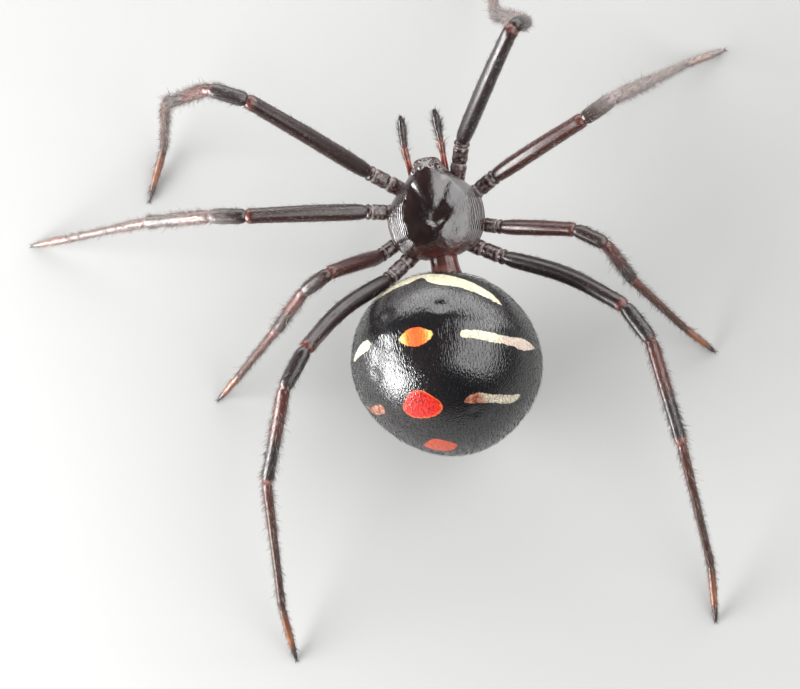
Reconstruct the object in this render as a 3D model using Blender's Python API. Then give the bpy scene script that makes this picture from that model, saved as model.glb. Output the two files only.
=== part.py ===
"""A female northern black widow, life size, standing with all eight feet on the floor.

The spider faces +Y, its right side is +X and the floor is Z = 0. Sizes in the tables below
are millimetres and degrees; MM turns them into metres where the shapes are made.
"""

import math

import bmesh
import bpy
from mathutils import Matrix, Vector

MM = 0.001

# Clear space between two neighbouring pieces
GAP = 0.06

# Carapace, the shield over the front half of the body
CARAPACE_FRONT = 1.56
CARAPACE_REAR = -1.40
CARAPACE_BASE_Z = 3.02
CARAPACE_UNDERSIDE = 0.05
CARAPACE_RINGS = 22
CARAPACE_SIDES = 28
# Half width and height above the margin, at places along the body
CARAPACE_HALF_WIDTHS = (
    (-1.40, 0.51), (-1.20, 0.97), (-0.90, 1.24), (-0.50, 1.39), (-0.10, 1.42), (0.25, 1.37),
    (0.55, 1.17), (0.80, 0.95), (1.05, 0.68), (1.30, 0.50), (1.56, 0.38),
)
CARAPACE_HEIGHTS = (
    (-1.40, 0.28), (-1.10, 0.46), (-0.70, 0.66), (-0.20, 0.72), (0.30, 0.80), (0.75, 0.89),
    (1.10, 0.90), (1.35, 0.80), (1.56, 0.55),
)
FOVEA_Y = -0.22
FOVEA_DEPTH = 0.11
FOVEA_REACH = (0.24, 0.17)
GROOVE_DEPTH = 0.05
GROOVE_WIDTH = 0.10
GROOVE_SPLAY = 0.80

# The front half of the body is turned a little to its left and set off the abdomen's line
BODY_TURN = 5.0
TURN_CENTRE = (0.0, -0.15, 0.0)
BODY_SHIFT = (-0.06, 0.0, 0.0)

# Sternum with the body wall that the legs grow from: half widths along the body
STERNUM_HALF_WIDTHS = (
    (-1.25, 0.10), (-1.10, 0.28), (-0.85, 0.42), (-0.50, 0.60), (-0.15, 0.70), (0.22, 0.70),
    (0.60, 0.56), (0.85, 0.38), (1.00, 0.24),
)
STERNUM_TOP = CARAPACE_BASE_Z - CARAPACE_UNDERSIDE - GAP
STERNUM_BOTTOM = 2.28
STERNUM_RINGS = 14
STERNUM_SIDES = 20

# Eyes: place across and along the head, and radius
EYES = {
    "eye_front_middle": (0.12, 1.43, 0.074),
    "eye_rear_middle": (0.15, 1.20, 0.088),
    "eye_front_side": (0.32, 1.34, 0.074),
    "eye_rear_side": (0.40, 1.13, 0.080),
}
EYE_SHOW = 0.58
EYE_SOCKET_GAP = 0.03

# Mouthparts
CHELICERA = {"top": (0.20, 1.30, 2.90), "tip": (0.17, 1.42, 2.22), "radii": (0.15, 0.17, 0.16, 0.11)}
FANG = {"root": (0.17, 1.44, 2.13), "tip": (0.03, 1.33, 1.92), "radii": (0.055, 0.045, 0.02)}
ENDITE = {"rear": (0.26, 0.98, 2.40), "front": (0.13, 1.22, 2.30), "radii": (0.10, 0.13, 0.09)}
LABIUM = {"rear": (0.0, 1.06, 2.44), "front": (0.0, 1.22, 2.42), "radii": (0.08, 0.09, 0.05)}

# Palps: root, then length, heading and rise of the two lengths, and their radii
PALP_ROOT = (0.50, 1.12, 2.64)
PALP_LENGTHS = (1.03, 0.98)
PALP_POSES = {"left": ((80, 12), (90, 24)), "right": ((94, 20), (96, 16))}
PALP_FEMUR_RADII = (0.10, 0.12, 0.16, 0.18, 0.16)
PALP_TARSUS_RADII = (0.15, 0.18, 0.19, 0.15, 0.07)

# Legs, pairs 1 to 4 from the front. Lengths run coxa with trochanter, femur, patella, tibia,
# metatarsus, tarsus
HIPS = {1: (0.74, 0.82), 2: (0.84, 0.22), 3: (0.82, -0.38), 4: (0.64, -0.92)}
HIP_Z = 2.62
LEG_LENGTHS = {
    1: (1.35, 4.95, 1.15, 3.15, 3.80, 1.60),
    2: (1.30, 3.60, 1.10, 2.40, 3.20, 1.35),
    3: (1.20, 2.55, 1.05, 2.05, 2.50, 1.20),
    4: (1.50, 4.20, 1.30, 3.20, 4.15, 1.70),
}
# Each length's heading, in degrees forward of straight out sideways, and its rise above
# level. The metatarsus has no rise of its own: it takes the one that puts the foot down
FOOT_DOWN = None
LEG_POSES = {
    (1, "left"): ((30, 24), (29, 44), (20, 12), (13, -60), (-45, FOOT_DOWN), (-68, -14)),
    (1, "right"): ((74, 30), (50, 50), (42, -68), (138, -62), (96, FOOT_DOWN), (98, -25)),
    (2, "left"): ((2, 24), (0, 16), (8, -10), (8, -31), (5, FOOT_DOWN), (2, -30)),
    (2, "right"): ((30, 20), (19, 33), (26, 18), (42, -58), (50, FOOT_DOWN), (20, -20)),
    (3, "left"): ((-35, 10), (-30, 52), (-24, -28), (-35, -52), (-31, FOOT_DOWN), (-34, -41)),
    (3, "right"): ((-17, 18), (-14, 27), (-32, 6), (-53, -62), (-43, FOOT_DOWN), (-39, -36)),
    (4, "left"): ((-44, 21), (-45, 37), (-56, -7), (-69, -38), (-89, FOOT_DOWN), (-99, -37)),
    (4, "right"): ((-30, 15), (-31, 17), (-58, -1), (-79, -12), (-83, FOOT_DOWN), (-92, -30)),
}
# How far the middle of a femur bows forward and up
FEMUR_BOWS = {1: (0.0, 0.12), 2: (0.0, 0.08), 3: (0.0, 0.06), 4: (0.24, 0.10)}
LEG_SIDES = 10
FOOT_RADIUS = 0.10
# Radius along each length: how far along it, and the radius there
COXA_PROFILE = ((0.0, 0.20), (0.12, 0.245), (0.40, 0.25), (0.58, 0.22), (0.70, 0.25), (0.90, 0.245), (1.0, 0.21))
FEMUR_PROFILE = ((0.0, 0.22), (0.06, 0.26), (0.25, 0.28), (0.50, 0.28), (0.75, 0.265), (0.93, 0.26), (1.0, 0.23))
PATELLA_PROFILE = ((0.0, 0.22), (0.15, 0.25), (0.55, 0.26), (0.88, 0.245), (1.0, 0.225))
TIBIA_PROFILE = ((0.08, 0.245), (0.35, 0.255), (0.70, 0.25), (0.93, 0.245), (1.0, 0.215))
METATARSUS_PROFILE = ((0.0, 0.20), (0.06, 0.225), (0.40, 0.225), (0.75, 0.215), (0.94, 0.21), (1.0, 0.19))
TARSUS_PROFILE = ((0.10, 0.205), (0.45, 0.20), (0.80, 0.16), (1.0, FOOT_RADIUS))

# Waist between the two halves of the body
PEDICEL_RADII = (0.30, 0.34, 0.36, 0.36)
PEDICEL_FRONT = (0.0, -1.36, 2.78)
# Where it meets the abdomen, as a direction from the abdomen's centre
PEDICEL_AIM = (0.06, 0.96, -0.28)

# Abdomen
ABDOMEN_CENTRE = (-0.09, -4.60, 3.10)
ABDOMEN_SIZE = (5.55, 5.25, 5.40)
ABDOMEN_TURN = 1.0
ABDOMEN_ROLL = 15.5
ABDOMEN_RINGS = 24
ABDOMEN_SIDES = 36
# The rear half is narrower than the front by this share, and the front end is lifted
REAR_TAPER = 0.12
FRONT_LIFT = 0.42

# Spinnerets: direction from the abdomen's centre, and sizes of the cluster
SPINNERET_AIM = (0.0, -0.66, -0.75)
SPINNERET_BASE = (0.34, 0.16)
SPINNERET_RING = 0.17
SPINNERET_CONE = (0.10, 0.05, 0.36)
SPINNERET_COUNT = 6
# Their flat base needs this much more than the gap over the round abdomen
SPINNERET_CLEAR = 0.01


def clear_scene():
    for obj in list(bpy.data.objects):
        bpy.data.objects.remove(obj, do_unlink=True)


def make_material(name, colour, roughness):
    material = bpy.data.materials.new(name)
    material.use_nodes = True
    shader = material.node_tree.nodes["Principled BSDF"]
    shader.inputs["Base Color"].default_value = (*colour, 1.0)
    shader.inputs["Roughness"].default_value = roughness
    shader.inputs["Metallic"].default_value = 0.0
    return material


def between(table, place):
    """The value at a place along a table of (place, value) rows, eased between the rows."""
    if place <= table[0][0]:
        return table[0][1]
    for (start, low), (end, high) in zip(table, table[1:]):
        if place <= end:
            share = (place - start) / (end - start)
            return low + (high - low) * share * share * (3 - 2 * share) * 0.4 + (high - low) * share * 0.6
    return table[-1][1]


def add_object(name, data, material):
    data.materials.append(material)
    obj = bpy.data.objects.new(name, data)
    parts.objects.link(obj)
    obj.parent = stance
    return obj


def add_mesh(name, bm, material):
    mesh = bpy.data.meshes.new(name)
    bm.to_mesh(mesh)
    bm.free()
    mesh.shade_smooth()
    mesh.set_sharp_from_angle(angle=math.radians(50))
    return add_object(name, mesh, material)


def add_tube(name, points, radii, material, sides=LEG_SIDES):
    """A round tube through the points, as thick at each as its radius says, with closed ends."""
    curve = bpy.data.curves.new(name, "CURVE")
    curve.dimensions = "3D"
    curve.bevel_depth = MM
    curve.bevel_resolution = sides // 2 - 2
    curve.use_fill_caps = True
    spline = curve.splines.new("POLY")
    spline.points.add(len(points) - 1)
    for target, point, radius in zip(spline.points, points, radii):
        target.co = (*(point * MM), 1.0)
        target.radius = radius
    return add_object(name, curve, material)


def as_mesh(obj):
    """Replaces a tube by its mesh, with the rims of its caps welded to its wall."""
    name, material = obj.name, obj.data.materials[0]
    bpy.context.view_layer.update()
    evaluated = obj.evaluated_get(bpy.context.evaluated_depsgraph_get())
    mesh = bpy.data.meshes.new_from_object(evaluated)
    bm = bmesh.new()
    bm.from_mesh(mesh)
    bmesh.ops.remove_doubles(bm, verts=bm.verts, dist=1e-7)
    bpy.data.objects.remove(obj, do_unlink=True)
    bpy.data.meshes.remove(mesh)
    return name, bm, material


def stand_on_floor(obj):
    """Cuts a foot off flat at the floor."""
    name, bm, material = as_mesh(obj)
    everything = list(bm.verts) + list(bm.edges) + list(bm.faces)
    cut = bmesh.ops.bisect_plane(
        bm, geom=everything, dist=1e-8, plane_co=(0, 0, 0), plane_no=(0, 0, 1), clear_inner=True
    )
    rim = [item for item in cut["geom_cut"] if isinstance(item, bmesh.types.BMEdge)]
    bmesh.ops.holes_fill(bm, edges=rim, sides=0)
    bmesh.ops.recalc_face_normals(bm, faces=bm.faces)
    return add_mesh(name, bm, material)


def heading_vector(side, forward, rise):
    """A unit vector for a heading forward of straight sideways and a rise above level."""
    turn, lift = math.radians(forward), math.radians(rise)
    return Vector((side * math.cos(turn) * math.cos(lift), math.sin(turn) * math.cos(lift), math.sin(lift)))


def turned(point):
    """A point of the front half of the body, after the body's turn."""
    centre = Vector(TURN_CENTRE)
    return centre + Vector(BODY_SHIFT) + Matrix.Rotation(math.radians(BODY_TURN), 3, "Z") @ (Vector(point) - centre)


def carapace_top(across, along):
    """Height of the carapace over a place on it, before the turn."""
    half = between(CARAPACE_HALF_WIDTHS, along)
    share = min(abs(across) / half, 1.0)
    height = between(CARAPACE_HEIGHTS, along) * math.sqrt(1 - share * share)
    fovea = math.exp(-((across / FOVEA_REACH[0]) ** 2) - ((along - FOVEA_Y) / FOVEA_REACH[1]) ** 2)
    ahead = along - FOVEA_Y
    from_groove = (abs(across) - GROOVE_SPLAY * ahead) / GROOVE_WIDTH
    groove = math.exp(-from_groove * from_groove) if 0 < ahead < 1.1 else 0.0
    return CARAPACE_BASE_Z + height - FOVEA_DEPTH * fovea - GROOVE_DEPTH * groove * math.sin(math.pi * max(ahead, 0) / 1.1)


def ring_places(front, rear, share):
    """Where a ring of a rounded shape lies, from its front (0) to its rear (1)."""
    return 0.5 * (front + rear) + 0.5 * (front - rear) * math.cos(math.pi * share)


def loft_body(name, front, rear, rings, sides, section, material):
    """Closed shape from rings across the body; section gives a ring's point at an angle."""
    bm = bmesh.new()
    rows = []
    for ring in range(1, rings):
        along = ring_places(front, rear, ring / rings)
        rows.append([
            bm.verts.new(turned(section(along, 2 * math.pi * step / sides)) * MM)
            for step in range(sides)
        ])
    for row, following in zip(rows, rows[1:]):
        for step in range(sides):
            turn = (step + 1) % sides
            bm.faces.new((row[step], following[step], following[turn], row[turn]))
    for row, along in ((rows[0], front), (rows[-1], rear)):
        middle = Vector()
        for vert in row:
            middle += vert.co
        pole = bm.verts.new(middle / sides + Vector((0, 0.25 * (along * MM - middle.y / sides), 0)))
        for step in range(sides):
            bm.faces.new((row[step], row[(step + 1) % sides], pole))
    bmesh.ops.recalc_face_normals(bm, faces=bm.faces)
    return add_mesh(name, bm, material)


def build_carapace():
    def section(along, angle):
        half = between(CARAPACE_HALF_WIDTHS, along)
        across = half * math.cos(angle)
        if math.sin(angle) >= 0:
            return across, along, carapace_top(across, along)
        return across, along, CARAPACE_BASE_Z + CARAPACE_UNDERSIDE * math.sin(angle)

    shield = loft_body(
        "carapace", CARAPACE_FRONT, CARAPACE_REAR, CARAPACE_RINGS, CARAPACE_SIDES, section, shell_brown
    )
    for index, centre, radius in eye_places():
        socket = bmesh.new()
        bmesh.ops.create_uvsphere(socket, u_segments=10, v_segments=6, radius=(radius + EYE_SOCKET_GAP) * MM)
        bmesh.ops.translate(socket, verts=socket.verts, vec=centre * MM)
        mesh = bpy.data.meshes.new("socket")
        socket.to_mesh(mesh)
        socket.free()
        cutter = bpy.data.objects.new("socket_" + index, mesh)
        cutter.hide_render = True
        cutter.display_type = "WIRE"
        cutter.parent = stance
        cutters.objects.link(cutter)
        cut = shield.modifiers.new("socket_" + index, "BOOLEAN")
        cut.operation = "DIFFERENCE"
        cut.object = cutter


def eye_places():
    """Name, centre and radius of each of the eight eyes, set in the surface of the head."""
    for kind, (across, along, radius) in EYES.items():
        for side_name, side in (("left", -1), ("right", 1)):
            sunk = radius * (1 - 2 * EYE_SHOW)
            slope = Vector((side * across, along, carapace_top(across, along)))
            out = (slope - Vector((0, 0.55, CARAPACE_BASE_Z))).normalized()
            yield kind + "_" + side_name, turned(slope - out * sunk), radius


def build_eyes():
    for name, centre, radius in eye_places():
        bm = bmesh.new()
        bmesh.ops.create_uvsphere(bm, u_segments=10, v_segments=7, radius=radius * MM)
        bmesh.ops.translate(bm, verts=bm.verts, vec=centre * MM)
        add_mesh(name, bm, eye_black)


def build_sternum():
    def section(along, angle):
        half = between(STERNUM_HALF_WIDTHS, along)
        across = half * math.copysign(abs(math.cos(angle)) ** 0.6, math.cos(angle))
        lift = math.copysign(abs(math.sin(angle)) ** 0.6, math.sin(angle))
        middle, depth = 0.5 * (STERNUM_TOP + STERNUM_BOTTOM), 0.5 * (STERNUM_TOP - STERNUM_BOTTOM)
        return across, along, middle + depth * lift

    front, rear = STERNUM_HALF_WIDTHS[-1][0], STERNUM_HALF_WIDTHS[0][0]
    loft_body("sternum", front, rear, STERNUM_RINGS, STERNUM_SIDES, section, shell_black)


def bent(start, end, radii, sag):
    """Points from start to end, one for each radius, that bow by sag along Y."""
    start, end = Vector(start), Vector(end)
    steps = len(radii) - 1
    return [
        start.lerp(end, step / steps) + Vector((0, sag * math.sin(math.pi * step / steps), 0))
        for step in range(steps + 1)
    ]


def build_mouthparts():
    for side_name, side in (("left", -1), ("right", 1)):
        for kind, sizes, ends, sag, material in (
            ("chelicera", CHELICERA, ("top", "tip"), 0.05, shell_brown),
            ("fang", FANG, ("root", "tip"), 0.05, claw_red),
            ("endite", ENDITE, ("rear", "front"), 0.0, shell_brown),
        ):
            start, end = (Vector((side * x, y, z)) for x, y, z in (sizes[key] for key in ends))
            points = [turned(point) for point in bent(start, end, sizes["radii"], sag)]
            add_tube(kind + "_" + side_name, points, sizes["radii"], material, 8)
    points = [turned(point) for point in bent(LABIUM["rear"], LABIUM["front"], LABIUM["radii"], 0.0)]
    add_tube("labium", points, LABIUM["radii"], shell_brown, 8)


def build_palps():
    for side_name, side in (("left", -1), ("right", 1)):
        root = turned((side * PALP_ROOT[0], PALP_ROOT[1], PALP_ROOT[2]))
        (turn, rise), (end_turn, end_rise) = PALP_POSES[side_name]
        elbow = root + PALP_LENGTHS[0] * heading_vector(side, turn, rise)
        tip = elbow + PALP_LENGTHS[1] * heading_vector(side, end_turn, end_rise)
        joints = [root, elbow, tip]
        for name, index, radii, material in (
            ("femur", 0, PALP_FEMUR_RADII, shell_brown), ("tarsus", 1, PALP_TARSUS_RADII, leg_black)
        ):
            steps = len(radii) - 1
            length = PALP_LENGTHS[index]
            clear = 0.5 * GAP / length
            shares = [clear + (1 - 2 * clear) * step / steps for step in range(steps + 1)]
            points = [limb_point(joints, index, share) for share in shares]
            add_tube("palp_" + side_name + "_" + name, points, radii, material)


def limb_point(joints, index, share):
    """A point along one length of a limb, with the bends at its joints rounded off."""
    start, end = joints[index], joints[index + 1]
    length = (end - start).length
    point = start.lerp(end, share)
    for corner, distance, entering in ((index, share * length, False), (index + 1, (1 - share) * length, True)):
        if corner == 0 or corner == len(joints) - 1:
            continue
        before, after = joints[corner] - joints[corner - 1], joints[corner + 1] - joints[corner]
        reach = 0.42 * min(before.length, after.length, 1.3)
        if distance >= reach:
            continue
        pull = 0.5 * (1 - distance / reach) if entering else 0.5 * (1 + distance / reach)
        near = joints[corner] - before.normalized() * reach
        far = joints[corner] + after.normalized() * reach
        point = (1 - pull) ** 2 * near + 2 * pull * (1 - pull) * joints[corner] + pull ** 2 * far
    return point


def leg_joints(pair, side_name):
    """Joints of a leg from the hip to the foot, with one more at the middle of the femur."""
    side = -1 if side_name == "left" else 1
    lengths = LEG_LENGTHS[pair]
    pose = LEG_POSES[pair, side_name]
    joints = [turned((side * HIPS[pair][0], HIPS[pair][1], HIP_Z))]
    for length, (forward, rise) in zip(lengths, pose):
        if rise is FOOT_DOWN:
            drop = joints[-1].z + lengths[5] * math.sin(math.radians(pose[5][1]))
            rise = -math.degrees(math.asin(drop / length))
        joints.append(joints[-1] + length * heading_vector(side, forward, rise))
    femur = joints[2] - joints[1]
    up = (Vector((0, 0, 1)) - femur * femur.z / femur.length_squared).normalized()
    across = up.cross(femur).normalized() * side
    bow_forward, bow_up = FEMUR_BOWS[pair]
    middle = 0.5 * (joints[1] + joints[2]) + up * bow_up + across * bow_forward
    return joints[:2] + [middle] + joints[2:]


def leg_piece(name, joints, spans, material):
    """One node of a leg. Each span is a length of the leg with its radius profile."""
    points, radii = [], []
    for index, profile, low, high in spans:
        length = (joints[index + 1] - joints[index]).length
        for share, radius in profile:
            part = (share - low) / (high - low)
            if not -1e-6 <= part <= 1 + 1e-6:
                continue
            if len(points) == 0 and index > 0:
                part += 0.5 * GAP / length
            points.append((index, part, length))
            radii.append(radius)
    index, part, length = points[-1]
    if index < len(joints) - 2:
        points[-1] = (index, part - 0.5 * GAP / length, length)
    return add_tube(name, [limb_point(joints, i, p) for i, p, _ in points], radii, material)


def build_legs():
    for pair, side_name in LEG_POSES:
        joints = leg_joints(pair, side_name)
        name = "leg_%d_%s_" % (pair, side_name)
        leg_piece(name + "coxa", joints, [(0, COXA_PROFILE, 0.0, 1.0)], leg_black)
        lower, upper = FEMUR_PROFILE[:4], FEMUR_PROFILE[4:]
        leg_piece(name + "femur", joints, [(1, lower, 0.0, 0.5), (2, upper, 0.5, 1.0)], leg_black)
        leg_piece(
            name + "tibia", joints, [(3, PATELLA_PROFILE, 0.0, 1.0), (4, TIBIA_PROFILE, 0.0, 1.0)], leg_black
        )
        foot = leg_piece(
            name + "tarsus", joints, [(5, METATARSUS_PROFILE, 0.0, 1.0), (6, TARSUS_PROFILE, 0.0, 1.0)], leg_brown
        )
        stand_on_floor(foot)


def abdomen_frame():
    turn = Matrix.Rotation(math.radians(ABDOMEN_TURN), 3, "Z")
    roll = Matrix.Rotation(math.radians(-ABDOMEN_ROLL), 3, "Y")
    return turn @ roll


def abdomen_point(direction):
    """The abdomen's surface in a direction from its centre, in its own frame."""
    x, y, z = direction
    taper = 1 - REAR_TAPER * max(-y, 0) ** 2
    wide, long, high = (0.5 * size for size in ABDOMEN_SIZE)
    return Vector((wide * x * taper, long * y, high * z * taper + FRONT_LIFT * y))


def abdomen_normal(direction):
    """Which way the abdomen's surface faces in that direction from its centre."""
    sideways = direction.orthogonal().normalized()
    slopes = [
        abdomen_point((direction + 0.001 * step).normalized()) - abdomen_point(direction)
        for step in (sideways, direction.cross(sideways))
    ]
    return slopes[0].cross(slopes[1]).normalized()


def build_abdomen():
    bm = bmesh.new()
    bmesh.ops.create_uvsphere(bm, u_segments=ABDOMEN_SIDES, v_segments=ABDOMEN_RINGS, radius=1.0)
    bmesh.ops.rotate(bm, verts=bm.verts, cent=(0, 0, 0), matrix=Matrix.Rotation(math.pi / 2, 3, "X"))
    frame = abdomen_frame()
    centre = Vector(ABDOMEN_CENTRE)
    for vert in bm.verts:
        vert.co = (centre + frame @ abdomen_point(vert.co.normalized())) * MM
    add_mesh("abdomen", bm, abdomen_black)


def build_spinnerets():
    """A low mound with a ring of short cones, fused into one body."""
    frame = abdomen_frame()
    aim = Vector(SPINNERET_AIM).normalized()
    out = abdomen_normal(aim)
    root = Vector(ABDOMEN_CENTRE) + frame @ (abdomen_point(aim) + out * (GAP + SPINNERET_CLEAR))
    stand = (frame @ out).to_track_quat("Z", "Y").to_matrix()
    pieces = bpy.data.collections.new("spinneret_pieces")
    width, height = SPINNERET_BASE
    for index in range(SPINNERET_COUNT + 1):
        bm = bmesh.new()
        if index == SPINNERET_COUNT:
            bmesh.ops.create_cone(
                bm, cap_ends=True, segments=16, radius1=width, radius2=0.7 * width, depth=height
            )
            bmesh.ops.translate(bm, verts=bm.verts, vec=(0, 0, 0.5 * height))
        else:
            wide, narrow, length = SPINNERET_CONE
            bmesh.ops.create_cone(
                bm, cap_ends=True, segments=8, radius1=wide, radius2=narrow, depth=length
            )
            turn = 2 * math.pi * (index + 0.5) / SPINNERET_COUNT
            bmesh.ops.translate(
                bm, verts=bm.verts,
                vec=(SPINNERET_RING * math.cos(turn), SPINNERET_RING * math.sin(turn), 0.4 * length),
            )
        for vert in bm.verts:
            vert.co = (root + stand @ vert.co) * MM
        mesh = bpy.data.meshes.new("spinneret_piece")
        bm.to_mesh(mesh)
        bm.free()
        pieces.objects.link(bpy.data.objects.new("spinneret_piece_%d" % index, mesh))
    members = list(pieces.objects)
    cluster = members[-1]
    cluster.name = "spinnerets"
    pieces.objects.unlink(cluster)
    parts.objects.link(cluster)
    cluster.parent = stance
    cluster.data.materials.append(shell_brown)
    union = cluster.modifiers.new("fuse", "BOOLEAN")
    union.operand_type = "COLLECTION"
    union.collection = pieces
    union.operation = "UNION"
    union.solver = "EXACT"
    bpy.context.scene.collection.children.link(pieces)
    bpy.context.view_layer.update()
    evaluated = cluster.evaluated_get(bpy.context.evaluated_depsgraph_get())
    fused = bpy.data.meshes.new_from_object(evaluated)
    cluster.modifiers.clear()
    cluster.data = fused
    for member in members[:-1]:
        bpy.data.objects.remove(member, do_unlink=True)
    bpy.data.collections.remove(pieces)


def build_pedicel():
    front = turned(PEDICEL_FRONT)
    frame = abdomen_frame()
    nose = Vector(ABDOMEN_CENTRE) + frame @ abdomen_point(Vector(PEDICEL_AIM).normalized())
    steps = len(PEDICEL_RADII) - 1
    reach = (nose - front).length
    stop = 1 - (GAP + 0.02) / reach
    points = [front.lerp(nose, stop * step / steps) for step in range(steps + 1)]
    add_tube("pedicel", points, PEDICEL_RADII, shell_red, 14)


def centre_on_origin():
    """Moves the whole spider sideways so that the middle of its box stands over the origin."""
    bpy.context.view_layer.update()
    graph = bpy.context.evaluated_depsgraph_get()
    low, high = Vector((1, 1, 1)), Vector((-1, -1, -1))
    for obj in parts.objects:
        mesh = obj.evaluated_get(graph).to_mesh()
        for vert in mesh.vertices:
            for axis in range(3):
                low[axis] = min(low[axis], vert.co[axis])
                high[axis] = max(high[axis], vert.co[axis])
    stance.location = (-0.5 * (low.x + high.x), -0.5 * (low.y + high.y), 0)


clear_scene()
parts = bpy.data.collections.new("black_widow")
cutters = bpy.data.collections.new("cutters")
for collection in (parts, cutters):
    bpy.context.scene.collection.children.link(collection)
stance = bpy.data.objects.new("stance", None)
bpy.context.scene.collection.objects.link(stance)

shell_brown = make_material("shell_brown", (0.035, 0.016, 0.011), 0.22)
shell_black = make_material("shell_black", (0.018, 0.012, 0.011), 0.28)
shell_red = make_material("shell_red", (0.13, 0.025, 0.015), 0.32)
leg_black = make_material("leg_black", (0.020, 0.012, 0.010), 0.30)
leg_brown = make_material("leg_brown", (0.070, 0.026, 0.014), 0.36)
claw_red = make_material("claw_red", (0.12, 0.020, 0.010), 0.20)
eye_black = make_material("eye_black", (0.012, 0.010, 0.010), 0.06)
abdomen_black = make_material("abdomen_black", (0.012, 0.011, 0.012), 0.30)

build_carapace()
build_eyes()
build_sternum()
build_mouthparts()
build_palps()
build_legs()
build_pedicel()
build_abdomen()
build_spinnerets()
centre_on_origin()
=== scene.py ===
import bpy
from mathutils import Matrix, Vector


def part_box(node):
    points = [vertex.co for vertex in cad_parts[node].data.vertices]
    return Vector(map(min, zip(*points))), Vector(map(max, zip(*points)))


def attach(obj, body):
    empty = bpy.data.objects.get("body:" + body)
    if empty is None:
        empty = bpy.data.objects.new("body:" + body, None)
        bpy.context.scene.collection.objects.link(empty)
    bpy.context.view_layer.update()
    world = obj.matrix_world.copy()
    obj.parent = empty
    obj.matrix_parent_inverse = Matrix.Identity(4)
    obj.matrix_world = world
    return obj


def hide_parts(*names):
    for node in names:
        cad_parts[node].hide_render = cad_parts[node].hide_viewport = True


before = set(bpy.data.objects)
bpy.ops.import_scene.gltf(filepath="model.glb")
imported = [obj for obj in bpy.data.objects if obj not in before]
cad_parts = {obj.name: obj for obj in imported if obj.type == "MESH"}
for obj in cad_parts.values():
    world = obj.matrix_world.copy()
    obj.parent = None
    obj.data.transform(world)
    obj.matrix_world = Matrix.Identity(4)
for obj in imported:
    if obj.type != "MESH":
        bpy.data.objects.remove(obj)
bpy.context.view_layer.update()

import math

import bmesh
import bpy
import numpy as np
from mathutils import Matrix, Vector

# Floor, camera and lights.
# The spider stands on a plain pale floor and is looked down on from above and a little behind.
# A long lens keeps its feet and its back at one scale. Soft boxes stand low on its left, in front
# and high on its right, so that its back shines at the sides and stays dark in the middle.
MM = 0.001
PICTURE_WIDTH = 23.53 * MM
VIEW_DISTANCE = 0.5
SENSOR = 36.0
TOWARDS_CAMERA = Vector((0.075, -0.215, 0.974)).normalized()
CAMERA_TURN = -4.7
# Where the picture's middle lies from the top of the front half, in the picture's own directions
HEAD_TOP = Vector((0.0, 0.0, 3.55))
MIDDLE_FROM_HEAD = (-1.059, -4.015)
FLOOR_SIZE = 0.6
FLOOR_COLOUR = (0.34, 0.34, 0.335)
FLOOR_SHADE = (0.30, 0.30, 0.30)
# Each light: place, width and height, what it points at (mm), and its power in watts
LIGHTS = {
    "left_box": ((-54, -19, 16), (66, 30), (0, -6, 6), 0.150),
    "right_box": ((56, -14, 66), (120, 84), (0, -3, 3), 0.130),
    "front_box": ((14, 66, 31), (210, 62), (0, 0, 5), 0.190),
}
WORLD_COLOUR = (0.80, 0.86, 1.0, 1.0)
WORLD_STRENGTH = 0.02

# Places on the body are millimetres from the floor under the middle of its front half
ABDOMEN_CENTRE = Vector((-0.09, -4.60, 3.10))
abdomen_low, abdomen_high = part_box("abdomen")
under_body = 0.5 * (Vector(abdomen_low) + Vector(abdomen_high)) - ABDOMEN_CENTRE * MM
under_body.z = 0.0


def placed(point):
    """A place on the body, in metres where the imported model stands."""
    return under_body + Vector(point) * MM


def add_node(tree, kind, inputs=(), **settings):
    """A shader node. Each input is a value, or the output of another node."""
    made = tree.nodes.new(kind)
    for key, value in settings.items():
        setattr(made, key, value)
    for key, value in dict(inputs).items():
        if isinstance(value, bpy.types.NodeSocket):
            tree.links.new(value, made.inputs[key])
        else:
            made.inputs[key].default_value = value
    return made


def blend(tree, share, first, second):
    """One colour over another by a share. Each is a colour, or the output of another node."""
    inputs = {0: share}
    for key, colour in ((6, first), (7, second)):
        inputs[key] = colour if isinstance(colour, bpy.types.NodeSocket) else (*colour, 1.0)
    return add_node(tree, "ShaderNodeMix", inputs, data_type="RGBA").outputs[2]


def fade(tree, value, low, high, start=0.0, end=1.0):
    """Runs smoothly from start to end as the value goes from low to high."""
    inputs = {"Value": value, "From Min": low, "From Max": high, "To Min": start, "To Max": end}
    return add_node(tree, "ShaderNodeMapRange", inputs, interpolation_type="SMOOTHSTEP").outputs[0]


def speckle(tree, scale, detail=3.0, where=None):
    """Noise of a grain that fits the scale, per metre."""
    where = where or add_node(tree, "ShaderNodeTexCoord").outputs["Object"]
    inputs = {"Vector": where, "Scale": scale, "Detail": detail}
    return add_node(tree, "ShaderNodeTexNoise", inputs).outputs["Fac"]


def uneven(tree, scale, low=0.0, high=1.0, detail=3.0):
    """A value that wanders between low and high, in patches of that noise."""
    return fade(tree, speckle(tree, scale, detail), 0.3, 0.7, low, high)


def new_material(name, **constants):
    """A material with its tree and shader. Each constant is a value of the shader's own socket."""
    material = bpy.data.materials.new(name)
    material.use_nodes = True
    shader = material.node_tree.nodes["Principled BSDF"]
    for key, value in constants.items():
        shader.inputs[key.replace("_", " ")].default_value = value
    return material, material.node_tree, shader


def feed(tree, shader, **outputs):
    """Joins outputs to the shader's sockets of those names."""
    for key, output in outputs.items():
        tree.links.new(output, shader.inputs[key.replace("_", " ")])


def deselect():
    bpy.ops.object.select_all(action="DESELECT")


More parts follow.
